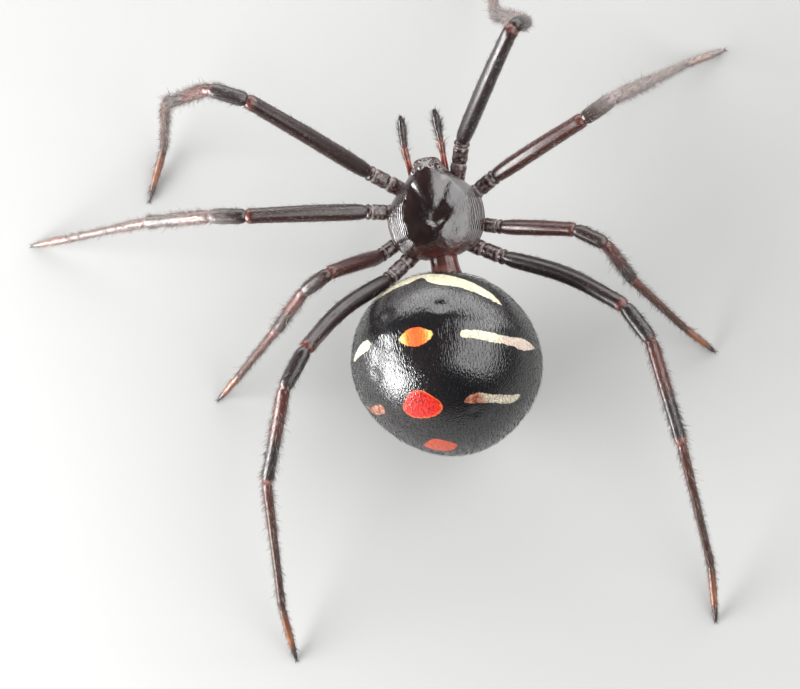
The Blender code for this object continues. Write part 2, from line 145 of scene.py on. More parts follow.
deselect()
bpy.ops.mesh.primitive_plane_add(size=FLOOR_SIZE)
floor = bpy.context.object
floor.name = "floor"
floor_paint, tree, shader = new_material("floor_paint", Roughness=0.85)
feed(tree, shader, Base_Color=blend(tree, uneven(tree, 60.0, 0.0, 0.10, 4.0), FLOOR_COLOUR, FLOOR_SHADE))
floor.data.materials.append(floor_paint)

ahead = (Vector((0, 1, 0)) - TOWARDS_CAMERA * TOWARDS_CAMERA.y).normalized()
picture_up = Matrix.Rotation(math.radians(CAMERA_TURN), 3, TOWARDS_CAMERA) @ ahead
picture_right = picture_up.cross(TOWARDS_CAMERA)
across, upwards = MIDDLE_FROM_HEAD
looked_at = placed(HEAD_TOP + picture_right * across + picture_up * upwards)
bpy.ops.object.camera_add()
camera = bpy.context.object
camera.data.sensor_width = SENSOR
camera.data.lens = SENSOR * VIEW_DISTANCE / PICTURE_WIDTH
camera.data.clip_start = 0.1 * VIEW_DISTANCE
camera_turned = Matrix((picture_right, picture_up, TOWARDS_CAMERA)).transposed().to_4x4()
camera.matrix_world = Matrix.Translation(looked_at + TOWARDS_CAMERA * VIEW_DISTANCE) @ camera_turned
bpy.context.scene.camera = camera
bpy.context.scene.view_settings.view_transform = "Standard"

for name, (place, size, target, power) in LIGHTS.items():
    bpy.ops.object.light_add(type="AREA", location=placed(place))
    light = bpy.context.object
    light.name = name
    light.rotation_euler = (placed(place) - placed(target)).to_track_quat("Z", "Y").to_euler()
    light.data.shape = "RECTANGLE"
    light.data.size, light.data.size_y = (side * MM for side in size)
    light.data.energy = power
    light.visible_camera = False
world = bpy.data.worlds.new("studio")
bpy.context.scene.world = world
world.use_nodes = True
world.node_tree.nodes["Background"].inputs["Color"].default_value = WORLD_COLOUR
world.node_tree.nodes["Background"].inputs["Strength"].default_value = WORLD_STRENGTH

# Legs.
# Each leg is one hard, glossy skin in seven lengths, from the hip to the foot, narrowed at its
# joints where soft pale skin shows. The skin is drawn out ring by ring along the leg's bent line,
# with bands of colour that run along it, and a pair of small claws ends it.
BODY_TURN = 5.0
TURN_CENTRE = Vector((0.0, -0.15, 0.0))
BODY_SHIFT = Vector((-0.06, 0.0, 0.0))
HIPS = {1: (0.74, 0.82), 2: (0.84, 0.22), 3: (0.82, -0.38), 4: (0.64, -0.92)}
HIP_Z = 2.62
LEG_LENGTHS = {
    1: (1.35, 4.95, 1.15, 3.15, 3.80, 1.60),
    2: (1.30, 3.60, 1.10, 2.40, 3.20, 1.35),
    3: (1.20, 2.55, 1.05, 2.05, 2.50, 1.20),
    4: (1.50, 4.20, 1.30, 3.20, 4.15, 1.70),
}
FOOT_DOWN = None
LEG_POSES = {
    (1, "left"): ((30, 24), (29, 44), (20, 12), (13, -60), (-45, FOOT_DOWN), (-68, -14)),
    (1, "right"): ((74, 30), (50, 50), (42, -68), (138, -62), (96, FOOT_DOWN), (98, -25)),
    (2, "left"): ((2, 24), (0, 16), (8, -10), (8, -31), (5, FOOT_DOWN), (2, -30)),
    (2, "right"): ((30, 20), (19, 33), (26, 18), (42, -58), (50, FOOT_DOWN), (20, -20)),
    (3, "left"): ((-35, 10), (-30, 52), (-24, -28), (-35, -52), (-31, FOOT_DOWN), (-34, -41)),
    (3, "right"): ((-17, 18), (-14, 27), (-32, 6), (-53, -62), (-43, FOOT_DOWN), (-39, -36)),
    (4, "left"): ((-44, 21), (-45, 37), (-56, -7), (-69, -38), (-89, FOOT_DOWN), (-99, -37)),
    (4, "right"): ((-30, 15), (-31, 17), (-58, -1), (-79, -12), (-83, FOOT_DOWN), (-92, -30)),
}
MIDDLE_OF_FEMUR = 2
# How far from a joint its bend begins (mm), the thickness that a sharp bend leaves room for (mm),
# and the largest share of a length that a bend may take
JOINT_BEND = 0.26
BENT_THICKNESS = 0.26
BEND_LIMIT = 0.46
FEMUR_BOWS = {1: (0.0, 0.12), 2: (0.0, 0.08), 3: (0.0, 0.06), 4: (0.24, 0.10)}
# Skin radius along the seven lengths: coxa with trochanter, femur in two, patella, tibia,
# metatarsus, tarsus
LEG_SKIN = (
    ((0.0, 0.19), (0.10, 0.225), (0.34, 0.235), (0.39, 0.255), (0.43, 0.240), (0.47, 0.200),
     (0.51, 0.200), (0.55, 0.245), (0.59, 0.230), (0.76, 0.230), (0.82, 0.242), (0.85, 0.200),
     (0.885, 0.196), (0.92, 0.240), (0.965, 0.228), (1.0, 0.190)),
    ((0.0, 0.178), (0.03, 0.215), (0.08, 0.228), (0.35, 0.248), (1.0, 0.250)),
    ((0.0, 0.250), (0.50, 0.236), (0.85, 0.226), (0.945, 0.240), (0.975, 0.215), (1.0, 0.165)),
    ((0.0, 0.162), (0.05, 0.205), (0.12, 0.222), (0.50, 0.232), (0.86, 0.222), (0.95, 0.200), (1.0, 0.160)),
    ((0.0, 0.158), (0.03, 0.186), (0.10, 0.194), (0.40, 0.190), (0.80, 0.178), (0.94, 0.196), (0.975, 0.172),
     (1.0, 0.122)),
    ((0.0, 0.120), (0.025, 0.146), (0.08, 0.146), (0.45, 0.126), (0.85, 0.114), (0.97, 0.120), (1.0, 0.092)),
    ((0.0, 0.090), (0.05, 0.108), (0.35, 0.106), (0.70, 0.088), (0.93, 0.060), (1.0, 0.030)),
)
LEG_THICKNESS = {1: 1.04, 2: 1.04, 3: 0.96, 4: 1.04}
LENGTHS = len(LEG_SKIN)
LEG_RINGS = (26, 11, 12, 15, 15, 15, 13)
LEG_SIDES = 14
LEG_SOLIDS = ("coxa", "femur", "tibia", "tarsus")
FOOT_CLAW = {"length": 0.13, "radius": 0.014, "spread": 0.05}
CLAW_STEPS = 6
CLAW_SIDES = 8
# How grey the hair of a leg is, from 0 to 1. It also sets the painted grey sheen on the leg's outer lengths
LEG_SILVER = {
    (1, "left"): 0.55, (1, "right"): 0.85, (2, "left"): 0.85, (2, "right"): 1.0,
    (3, "left"): 0.45, (3, "right"): 0.40, (4, "left"): 0.35, (4, "right"): 0.35,
}
# How red a leg is, from 0 to 1
LEG_WARMTH = {
    (1, "left"): 0.30, (1, "right"): 0.10, (2, "left"): 0.45, (2, "right"): 0.95,
    (3, "left"): 0.90, (3, "right"): 1.0, (4, "left"): 0.20, (4, "right"): 0.15,
}
# Colour of a dark leg and of a red one along it, 0 at the hip and 7 at the tip of the foot. Hips and
# outer lengths wear a painted grey sheen, and the hair a grey of its own
BLACK_BROWN = (0.012, 0.009, 0.008)
HIP_BROWN = (0.030, 0.012, 0.011)
RED_BROWN = (0.046, 0.008, 0.006)
PALE_SKIN = (0.28, 0.235, 0.22)
PALE_LINE = (0.26, 0.11, 0.085)
JOINT_RED = (0.062, 0.009, 0.006)
TIBIA_RED = (0.075, 0.015, 0.010)
FOOT_TAN = (0.25, 0.085, 0.030)
FOOT_BROWN = (0.040, 0.018, 0.012)
# Painted sheen colours: the hips' grey patches, then the grey bloom on the outer lengths' skin
HIP_PAINTED_SHEEN = (0.27, 0.235, 0.225)
SKIN_PAINTED_SHEEN = (0.30, 0.26, 0.245)
HAIR_SILVER = (0.34, 0.31, 0.29)
HAIR_BROWN = (0.060, 0.048, 0.042)
HIP_ROWS = (
    (0.0, HIP_BROWN), (0.34, RED_BROWN), (0.45, HIP_BROWN), (0.475, PALE_SKIN), (0.49, PALE_SKIN),
    (0.52, HIP_BROWN), (0.84, HIP_BROWN), (0.858, PALE_SKIN), (0.872, PALE_SKIN), (0.90, HIP_BROWN),
    (1.0, HIP_BROWN),
)
DARK_LEG = HIP_ROWS + (
    (1.08, BLACK_BROWN), (2.89, BLACK_BROWN), (2.95, JOINT_RED), (2.966, PALE_LINE), (2.982, JOINT_RED),
    (3.05, BLACK_BROWN), (3.88, BLACK_BROWN), (4.0, JOINT_RED), (4.12, TIBIA_RED), (4.42, TIBIA_RED),
    (4.60, BLACK_BROWN), (4.92, BLACK_BROWN), (4.96, PALE_LINE), (5.0, JOINT_RED),
    (5.10, (0.075, 0.024, 0.015)), (5.60, (0.045, 0.018, 0.012)), (5.97, (0.050, 0.018, 0.012)),
    (6.15, (0.13, 0.042, 0.020)), (6.60, FOOT_TAN), (6.80, FOOT_BROWN), (7.0, BLACK_BROWN),
)
RED_LEG = HIP_ROWS + (
    (1.08, (0.032, 0.008, 0.006)), (2.88, RED_BROWN), (2.95, JOINT_RED), (2.966, PALE_LINE),
    (2.982, JOINT_RED), (3.08, (0.028, 0.013, 0.011)), (3.85, (0.022, 0.012, 0.011)), (4.0, JOINT_RED),
    (4.12, (0.10, 0.021, 0.013)), (4.42, (0.095, 0.020, 0.013)), (4.64, (0.026, 0.013, 0.010)),
    (4.92, (0.030, 0.013, 0.010)), (4.96, PALE_LINE), (5.0, (0.13, 0.015, 0.009)),
    (5.10, (0.085, 0.025, 0.014)), (5.60, (0.065, 0.023, 0.013)), (5.97, (0.060, 0.020, 0.012)),
    (6.15, (0.19, 0.062, 0.025)), (6.60, FOOT_TAN), (6.80, FOOT_BROWN), (7.0, BLACK_BROWN),
)
UNDERSIDE_RED = (0.055, 0.008, 0.006)


def flowing(table, place):
    """The value at a place along a table of (place, value) rows, on one smooth curve."""
    places = [row[0] for row in table]
    if place <= places[0]:
        return table[0][1]
    if place >= places[-1]:
        return table[-1][1]
    index = max(number for number, start in enumerate(places) if start <= place)
    ends = [table[max(index - 1, 0)], table[index], table[index + 1], table[min(index + 2, len(table) - 1)]]
    span = ends[2][0] - ends[1][0]
    slopes = [
        span * (after[1] - before[1]) / max(after[0] - before[0], 1e-9)
        for before, after in ((ends[0], ends[2]), (ends[1], ends[3]))
    ]
    share = (place - ends[1][0]) / span
    low, high = ends[1][1], ends[2][1]
    return (
        low * (1 + 2 * share) * (1 - share) ** 2 + slopes[0] * share * (1 - share) ** 2
        + high * share ** 2 * (3 - 2 * share) - slopes[1] * share ** 2 * (1 - share)
    )


def heading_vector(side, forward, rise):
    """A unit vector for a heading forward of straight sideways and a rise above level."""
    turn, lift = math.radians(forward), math.radians(rise)
    return Vector((side * math.cos(turn) * math.cos(lift), math.sin(turn) * math.cos(lift), math.sin(lift)))


def turned(point):
    """A point of the front half of the body, after the body's turn to its left."""
    flat_turn = Matrix.Rotation(math.radians(BODY_TURN), 3, "Z")
    return TURN_CENTRE + BODY_SHIFT + flat_turn @ (Vector(point) - TURN_CENTRE)


def bend_reach(before, after, whole=False):
    """How far from a joint its bend begins. A sharp bend needs more room, or the skin would fold."""
    half_bend = 0.5 * before.angle(after)
    sharp = BENT_THICKNESS * math.sin(half_bend) / math.cos(half_bend) ** 2
    return min(BEND_LIMIT * min(before.length, after.length), math.inf if whole else max(JOINT_BEND, sharp))


def evenly(steps):
    """Shares from 0 to 1, as far apart as each other."""
    return [step / steps for step in range(steps + 1)]


def eased(steps, last=True):
    """Shares from 0 to 1 that lie closer at both ends, with or without the last one."""
    return [0.5 - 0.5 * math.cos(math.pi * step / steps) for step in range(steps + last)]


def limb_point(joints, index, share):
    """A point along one length of a limb, with the bends at its joints rounded off."""
    start, end = joints[index], joints[index + 1]
    length = (end - start).length
    point = start.lerp(end, share)
    ends = ((index, share * length, False), (index + 1, (1 - share) * length, True))
    for corner, distance, entering in ends:
        if corner == 0 or corner == len(joints) - 1:
            continue
        before, after = joints[corner] - joints[corner - 1], joints[corner + 1] - joints[corner]
        reach = bend_reach(before, after, corner == MIDDLE_OF_FEMUR)
        if distance >= reach:
            continue
        pull = 0.5 * (1 - distance / reach) if entering else 0.5 * (1 + distance / reach)
        near = joints[corner] - before.normalized() * reach
        far = joints[corner] + after.normalized() * reach
        point = (1 - pull) ** 2 * near + 2 * pull * (1 - pull) * joints[corner] + pull ** 2 * far
    return point


def leg_joints(pair, side_name):
    """Joints of a leg from the hip to the foot, with one more at the middle of the femur."""
    side = -1 if side_name == "left" else 1
    lengths = LEG_LENGTHS[pair]
    pose = LEG_POSES[pair, side_name]
    joints = [turned((side * HIPS[pair][0], HIPS[pair][1], HIP_Z))]
    for length, (forward, rise) in zip(lengths, pose):
        if rise is FOOT_DOWN:
            drop = joints[-1].z + lengths[5] * math.sin(math.radians(pose[5][1]))
            rise = -math.degrees(math.asin(drop / length))
        joints.append(joints[-1] + length * heading_vector(side, forward, rise))
    femur = joints[2] - joints[1]
    up = (Vector((0, 0, 1)) - femur * femur.z / femur.length_squared).normalized()
    across = up.cross(femur).normalized() * side
    bow_forward, bow_up = FEMUR_BOWS[pair]
    middle = 0.5 * (joints[1] + joints[2]) + up * bow_up + across * bow_forward
    return joints[:2] + [middle] + joints[2:]


def headings_along(centres):
    """The direction of a line at each of its points."""
    ends = [centres[0]] + list(centres) + [centres[-1]]
    return [(after - before).normalized() for before, after in zip(ends, ends[2:])]


def limb_line(joints, profiles, rings, thickness=1.0):
    """The centres of a limb's rings, their radii, and how far along the limb they are."""
    line, radii, along = [], [], []
    for index, (profile, steps) in enumerate(zip(profiles, rings)):
        for share in eased(steps, index == len(profiles) - 1):
            radius = flowing(profile, share) * thickness
            centre = limb_point(joints, index, share)
            centre.z = max(centre.z, radius)
            line.append(placed(centre))
            radii.append(radius * MM)
            along.append(index + share)
    return line, radii, along


def draw_out(name, centres, radii, sides):
    """One closed round skin, drawn out ring by ring along its centres, as thick as its radii."""
    headings = headings_along(centres)
    deselect()
    facing = headings[0].to_track_quat("Z", "Y").to_euler()
    bpy.ops.mesh.primitive_circle_add(
        vertices=sides, radius=radii[0], fill_type="NGON", location=centres[0], rotation=facing
    )
    piece = bpy.context.object
    piece.name = name
    bpy.ops.object.transform_apply(location=True, rotation=True, scale=True)
    bpy.ops.object.mode_set(mode="EDIT")
    bpy.ops.mesh.select_all(action="SELECT")
    for index in range(1, len(centres)):
        step = centres[index] - centres[index - 1]
        bpy.ops.mesh.extrude_region_move(TRANSFORM_OT_translate={"value": step})
        turn = headings[index - 1].rotation_difference(headings[index])
        axis, angle = turn.to_axis_angle()
        if angle > 1e-4:
            bpy.ops.transform.rotate(
                value=angle, orient_type="GLOBAL", orient_matrix_type="GLOBAL",
                orient_matrix=axis.to_track_quat("Z", "Y").to_matrix(),
                constraint_axis=(False, False, True), center_override=centres[index],
            )
        grown = radii[index] / radii[index - 1]
        bpy.ops.transform.resize(value=(grown, grown, grown), center_override=centres[index])
    bpy.ops.mesh.select_all(action="SELECT")
    bpy.ops.mesh.normals_make_consistent(inside=False)
    bpy.ops.object.mode_set(mode="OBJECT")
    return piece


def join(pieces, name):
    """Makes one piece of several."""
    deselect()
    for piece in pieces:
        piece.select_set(True)
    bpy.context.view_layer.objects.active = pieces[0]
    bpy.ops.object.join()
    pieces[0].name = name
    return pieces[0]


def keep(piece, name, row):
    """Keeps a value at each point of a piece."""
    piece.data.attributes.new(name, "FLOAT", "POINT").data.foreach_set("value", row.astype(np.float32))


def mark_limb(piece, centres, along, sides, warmth, silver):
    """Keeps at each point how far along the limb it is, how far down it faces, how red and how grey."""
    headings = headings_along(centres)
    count = len(piece.data.vertices)
    values = {
        "along": np.empty(count), "under": np.empty(count), "warmth": np.full(count, warmth),
        "silver": np.full(count, silver),
    }
    for vert in piece.data.vertices:
        ring = vert.index // sides
        heading = headings[ring]
        up = (Vector((0, 0, 1)) - heading * heading.z).normalized()
        out = (vert.co - centres[ring]).normalized()
        values["along"][vert.index] = along[ring]
        values["under"][vert.index] = -out.dot(up)
    for key, row in values.items():
        keep(piece, key, row)


def refine(piece, levels):
    """Rounds the piece off with a subdivision surface, and shades it smooth."""
    deselect()
    piece.select_set(True)
    bpy.context.view_layer.objects.active = piece
    if levels:
        finer = piece.modifiers.new("finer", "SUBSURF")
        finer.levels = finer.render_levels = levels
        bpy.ops.object.modifier_apply(modifier="finer")
    bpy.ops.object.shade_smooth()


def finish_piece(piece, material, slot, *nodes):
    """Gives the piece its material, and lets it stand for its solids."""
    piece.data.materials.clear()
    piece.data.materials.append(material)
    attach(piece, "root")
    if nodes:
        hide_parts(*nodes)


def maths(tree, operation, first, second=0.0):
    """One step of arithmetic on two values."""
    return add_node(tree, "ShaderNodeMath", {0: first, 1: second}, operation=operation).outputs[0]


def ramp(tree, place, stops):
    """A colour that changes along a row of (place, colour) stops."""
    made = add_node(tree, "ShaderNodeValToRGB", {0: place})
    elements = made.color_ramp.elements
    while len(elements) < len(stops):
        elements.new(1.0)
    for element, (at, colour) in zip(elements, stops):
        element.position = at
        element.color = (*colour, 1.0)
    return made.outputs[0]


def kept(tree, name):
    """A value that the mesh keeps at each of its points."""
    return add_node(tree, "ShaderNodeAttribute", attribute_name=name).outputs["Fac"]


def relief(tree, height, depth, under=None):
    """A bump as deep as the depth, in millimetres, on top of another."""
    inputs = {"Height": height, "Distance": depth * MM, "Strength": 1.0}
    if under is not None:
        inputs["Normal"] = under
    return add_node(tree, "ShaderNodeBump", inputs).outputs[0]


# Bands of colour along a limb, with red under its femur and patches of painted grey sheen on its hip
leg_bands = bpy.data.node_groups.new("leg_bands", "ShaderNodeTree")
leg_bands.interface.new_socket("Color", in_out="OUTPUT", socket_type="NodeSocketColor")
along = kept(leg_bands, "along")
under = kept(leg_bands, "under")
warmth = kept(leg_bands, "warmth")
wander = maths(leg_bands, "SUBTRACT", speckle(leg_bands, 3800.0), 0.5)
place = maths(leg_bands, "ADD", along, maths(leg_bands, "MULTIPLY", wander, 0.07))
place = maths(leg_bands, "DIVIDE", place, LENGTHS)
dark, red = (
    ramp(leg_bands, place, [(at / LENGTHS, colour) for at, colour in row]) for row in (DARK_LEG, RED_LEG)
)
share = maths(leg_bands, "ADD", warmth, maths(leg_bands, "MULTIPLY", wander, 0.5))
colour = blend(leg_bands, add_node(leg_bands, "ShaderNodeClamp", {0: share}).outputs[0], dark, red)
low = fade(leg_bands, under, -0.1, 0.7)
low = maths(leg_bands, "MULTIPLY", low, fade(leg_bands, along, 0.9, 1.2, 0.0, 0.8))
low = maths(leg_bands, "MULTIPLY", low, fade(leg_bands, warmth, 0.0, 1.0, 0.25, 1.0))
low = maths(leg_bands, "MULTIPLY", low, fade(leg_bands, along, 5.0, 5.6, 1.0, 0.2))
colour = blend(leg_bands, low, colour, UNDERSIDE_RED)
fine = fade(leg_bands, speckle(leg_bands, 16000.0, 2.0), 0.35, 0.75, 0.0, 0.35)
colour = blend(leg_bands, fine, colour, (0.0, 0.0, 0.0))
# Painted sheen: pale grey patches on the hip, standing for the light its glossy ridges catch
hip_sheen = fade(leg_bands, speckle(leg_bands, 9000.0, 4.0), 0.40, 0.75, 0.0, 0.55)
hip_sheen = maths(leg_bands, "MULTIPLY", hip_sheen, fade(leg_bands, along, 0.94, 1.06, 1.0, 0.0))
add_node(leg_bands, "NodeGroupOutput", {0: blend(leg_bands, hip_sheen, colour, HIP_PAINTED_SHEEN)})

leg_shell, tree, shader = new_material("leg_shell", IOR=1.48, Coat_Weight=0.25, Coat_Roughness=0.18)
bands = add_node(tree, "ShaderNodeGroup", node_tree=leg_bands)
along = kept(tree, "along")
rough = maths(tree, "ADD", uneven(tree, 2500.0, 0.30, 0.42), fade(tree, along, 1.0, 1.1, -0.12, 0.0))
bump = relief(tree, speckle(tree, 9000.0), 0.0050)
bump = relief(tree, speckle(tree, 26000.0, 2.0), 0.0025, bump)
# Painted sheen: a grey bloom on the skin from the patella outwards, stronger on legs with greyer hair
skin_sheen = maths(tree, "POWER", kept(tree, "silver"), 3.0)
skin_sheen = maths(tree, "MULTIPLY", skin_sheen, fade(tree, along, 3.0, 4.3, 0.0, 0.65))
skin_sheen = maths(tree, "MULTIPLY", skin_sheen, fade(tree, speckle(tree, 5000.0), 0.3, 0.6, 0.8, 1.0))
skin_colour = blend(tree, skin_sheen, bands.outputs["Color"], SKIN_PAINTED_SHEEN)
feed(tree, shader, Base_Color=skin_colour, Roughness=rough, Normal=bump)

leg_hair_colour, tree, shader = new_material("leg_hair_colour")
bands = add_node(tree, "ShaderNodeGroup", node_tree=leg_bands)
tint = blend(tree, 0.60, bands.outputs["Color"], HAIR_BROWN)
tint = blend(tree, kept(tree, "silver"), tint, HAIR_SILVER)
feed(tree, shader, Base_Color=tint, Roughness=uneven(tree, 9000.0, 0.28, 0.42))

# Each hair is a spike with three sides and seven points, bent at its middle. It has a small patch
# of its own when the piece is unwrapped
HAIR_SIDES = 3
HAIR_POINTS = 7
HAIR_SEED = 41
PATCH = 0.003
HAIR_LOOPS = np.array(
    [0, 2, 1]
    + [spot for side in range(3) for spot in (side, (side + 1) % 3, 3 + (side + 1) % 3, 3 + side)]
    + [spot for side in range(3) for spot in (3 + side, 3 + (side + 1) % 3, 6)]
)
HAIR_FACES = np.array([3, 4, 4, 4, 3, 3, 3])
HAIR_PATCH = np.array(
    [(0.0, 0.0), (0.3, 0.0), (0.15, 0.1)]
    + [(side / 3 + u, v) for side in range(3) for u, v in ((0, 0.1), (1 / 3, 0.1), (1 / 3, 0.55), (0, 0.55))]
    + [(side / 3 + u, v) for side in range(3) for u, v in ((0, 0.55), (1 / 3, 0.55), (1 / 6, 1.0))]
) - 0.5


def unit(rows):
    """The directions of many vectors, one in each row."""
    return rows / np.maximum(np.linalg.norm(rows, axis=1, keepdims=True), 1e-12)


def plant_hair(name, roots, starts, ends, lengths, thickness, unwrap, values=()):
    """Hairs joined in one mesh, each a closed spike that leaves its root one way and ends another."""
    count = len(roots)
    sideways = unit(np.cross(starts, starts[:, [1, 2, 0]] + 0.31))
    upright = np.cross(starts, sideways)
    reach = 0.5 * lengths[:, None]
    points = np.empty((count, HAIR_POINTS, 3))
    for side in range(HAIR_SIDES):
        turn = 2 * math.pi * side / HAIR_SIDES
        ring = (sideways * math.cos(turn) + upright * math.sin(turn)) * thickness[:, None]
        points[:, side] = roots - 0.12 * reach * starts + ring
        points[:, HAIR_SIDES + side] = roots + reach * starts + 0.72 * ring
    points[:, -1] = roots + reach * (starts + ends)
    loops = (HAIR_LOOPS[None, :] + HAIR_POINTS * np.arange(count)[:, None]).ravel()
    sizes = np.tile(HAIR_FACES, count)
    mesh = bpy.data.meshes.new(name)
    mesh.vertices.add(HAIR_POINTS * count)
    mesh.vertices.foreach_set("co", points.ravel())
    mesh.loops.add(len(loops))
    mesh.loops.foreach_set("vertex_index", loops)
    mesh.polygons.add(len(sizes))
    mesh.polygons.foreach_set("loop_start", np.concatenate(([0], np.cumsum(sizes)[:-1])))
    patches = mesh.uv_layers.new(name="OFBake")
    patches.uv.foreach_set("vector", (unwrap[:, None, :] + PATCH * HAIR_PATCH[None]).ravel())
    mesh.update(calc_edges=True)
    mesh.shade_smooth()
    piece = bpy.data.objects.new(name, mesh)
    bpy.context.collection.objects.link(piece)
    for key, row in dict(values).items():
        keep(piece, key, np.repeat(row, HAIR_POINTS))
    return piece


# Rows along the leg: hairs to the square millimetre, their length (mm), and how far they stand off
# the skin (degrees). They are short and flat on the femur, and bristle on the outer lengths
LEG_HAIR = (
    (0.0, 20, 0.07, 40), (0.9, 30, 0.08, 38), (1.2, 80, 0.10, 26), (2.6, 100, 0.11, 28),
    (3.0, 120, 0.12, 32), (4.0, 260, 0.15, 42), (4.4, 340, 0.19, 48), (5.0, 340, 0.18, 46),
    (5.6, 330, 0.16, 42), (6.2, 400, 0.14, 38), (7.0, 440, 0.10, 32),
)
HAIR_THICKNESS = 0.0042
LOWEST_ROOT = 0.02
# A few hairs are longer and thicker bristles
BRISTLE_SHARE = 0.07
BRISTLE_SIZE = 1.7
BRISTLE_THICKNESS = 1.5


def limb_hair(name, line, radii, along, warmth, silver, table, seed, thickness=HAIR_THICKNESS):
    """A coat for one limb, its hairs set evenly round it and leaning towards its tip.

    Silver is the share of its hairs that are grey."""
    draw = np.random.default_rng(seed)
    centres = np.array(line)
    headings = np.array(headings_along(line))
    radii, along = np.array(radii), np.array(along)
    steps = np.linalg.norm(np.diff(centres, axis=0), axis=1)
    density, length, stand = (
        np.interp(along, [row[0] for row in table], [row[column] for row in table]) for column in (1, 2, 3)
    )
    wanted = 2 * math.pi * 0.5 * (radii[1:] + radii[:-1]) * steps * density[1:] / MM ** 2
    total = int(wanted.sum())
    drawn = np.sort(draw.uniform(0, wanted.sum(), total))
    spots = np.interp(drawn, np.concatenate(([0], np.cumsum(wanted))), np.arange(len(centres)))
    low = np.minimum(spots.astype(int), len(centres) - 2)
    share = spots - low
    middle, heading, radius, at, length, stand = (
        row[low] + (row[low + 1] - row[low]) * (share if row.ndim == 1 else share[:, None])
        for row in (centres, headings, radii, along, length, stand)
    )
    heading = unit(heading)
    up = unit(np.array((0, 0, 1.0)) - heading * heading[:, 2:])
    aside = np.cross(heading, up)
    turn = draw.uniform(0, 2 * math.pi, total)
    out = up * np.cos(turn)[:, None] + aside * np.sin(turn)[:, None]
    bristle = draw.random(total) < BRISTLE_SHARE
    grown = np.where(bristle, BRISTLE_SIZE, 1.0)
    length = length * MM * draw.uniform(0.45, 1.3, total) * grown
    lift = np.radians(stand * draw.uniform(0.4, 1.6, total))[:, None]
    stray = draw.normal(0, 0.13, (total, 3))
    starts = unit(heading * np.cos(lift) + out * np.sin(lift) + stray)
    ends = unit(heading * np.cos(0.8 * lift) + out * np.sin(0.8 * lift) + stray)
    roots = middle + out * (radius * 0.985)[:, None]
    roots[:, 2] = np.maximum(roots[:, 2], LOWEST_ROOT * MM)
    ends[:, 2] = np.where(roots[:, 2] + 0.5 * length * (starts + ends)[:, 2] < 0, 0.05, ends[:, 2])
    starts[:, 2] = np.where(roots[:, 2] + 0.5 * length * starts[:, 2] < 0, 0.02, starts[:, 2])
    thick = thickness * MM * draw.uniform(0.75, 1.2, total) * np.where(bristle, BRISTLE_THICKNESS, 1.0)
    unwrap = np.stack((turn / (2 * math.pi), at / LENGTHS), 1)
    grey = np.where(draw.random(total) < silver, draw.uniform(0.4, 1.0, total), 0.0)
    values = {"along": at, "under": -np.cos(turn), "warmth": np.full(total, warmth), "silver": grey}
    return plant_hair(name, roots, starts, ends, length, thick, unwrap, values)


def add_claws(name, tip, heading, reach):
    """A pair of small hooked claws at the end of a foot, and one shorter between them."""
    aside = heading.cross(Vector((0, 0, 1))).normalized()
    claws = []
    thick = FOOT_CLAW["radius"] * MM
    radii = [thick * (1.0 - 0.85 * share) for share in evenly(CLAW_STEPS)]
    for way, size in ((-1, 1.0), (0, 0.7), (1, 1.0)):
        line = []
        for share in evenly(CLAW_STEPS):
            drop = Vector((0, 0, -0.35 * share * share)) * reach * size
            apart = aside * way * FOOT_CLAW["spread"] * MM * (0.3 + share)
            line.append(tip + heading * reach * size * share + apart + drop)
            line[-1].z = max(line[-1].z, thick)
        claws.append(draw_out("claw", line, radii, CLAW_SIDES))
    return join(claws, name)


def two_tone(name, coat, tones, patches, rough, relief_of=None):
    """A hard material that wanders between two tones.

    Coat is its weight and roughness. Patches are the tones' scale, detail and how sharply they part.
    Rough is a scale with the lowest and the highest, and the relief a scale, a detail and a depth."""
    material, tree, shader = new_material(name, Coat_Weight=coat[0], Coat_Roughness=coat[1])
    scale, detail, part = patches
    share = fade(tree, speckle(tree, scale, detail), 0.5 - part, 0.5 + part)
    feed(tree, shader, Base_Color=blend(tree, share, *tones), Roughness=uneven(tree, *rough))
    if relief_of:
        feed(tree, shader, Normal=relief(tree, speckle(tree, *relief_of[:2]), relief_of[2]))
    return material


claw_horn = two_tone(
    "claw_horn", (0.4, 0.1), ((0.018, 0.006, 0.004), (0.07, 0.018, 0.01)), (5000.0, 3.0, 0.2),
    (12000.0, 0.18, 0.30),
)

for number, (pair, side_name) in enumerate(LEG_POSES):
    name = "leg_%d_%s" % (pair, side_name)
    warmth, silver = LEG_WARMTH[pair, side_name], LEG_SILVER[pair, side_name]
    joints = leg_joints(pair, side_name)
    line, radii, along = limb_line(joints, LEG_SKIN, LEG_RINGS, LEG_THICKNESS[pair])
    skin = draw_out(name, line, radii, LEG_SIDES)
    mark_limb(skin, line, along, LEG_SIDES, warmth, silver)
    refine(skin, 1)
    finish_piece(skin, leg_shell, "leg_black", *(name + "_" + part for part in LEG_SOLIDS))
    coat = limb_hair(name + "_hair", line, radii, along, warmth, silver, LEG_HAIR, HAIR_SEED + number)
    finish_piece(coat, leg_hair_colour, "leg_brown")
    claws = add_claws(name + "_claws", line[-1], headings_along(line)[-1], FOOT_CLAW["length"] * MM)
    refine(claws, 1)
    finish_piece(claws, claw_horn, "claw_red")

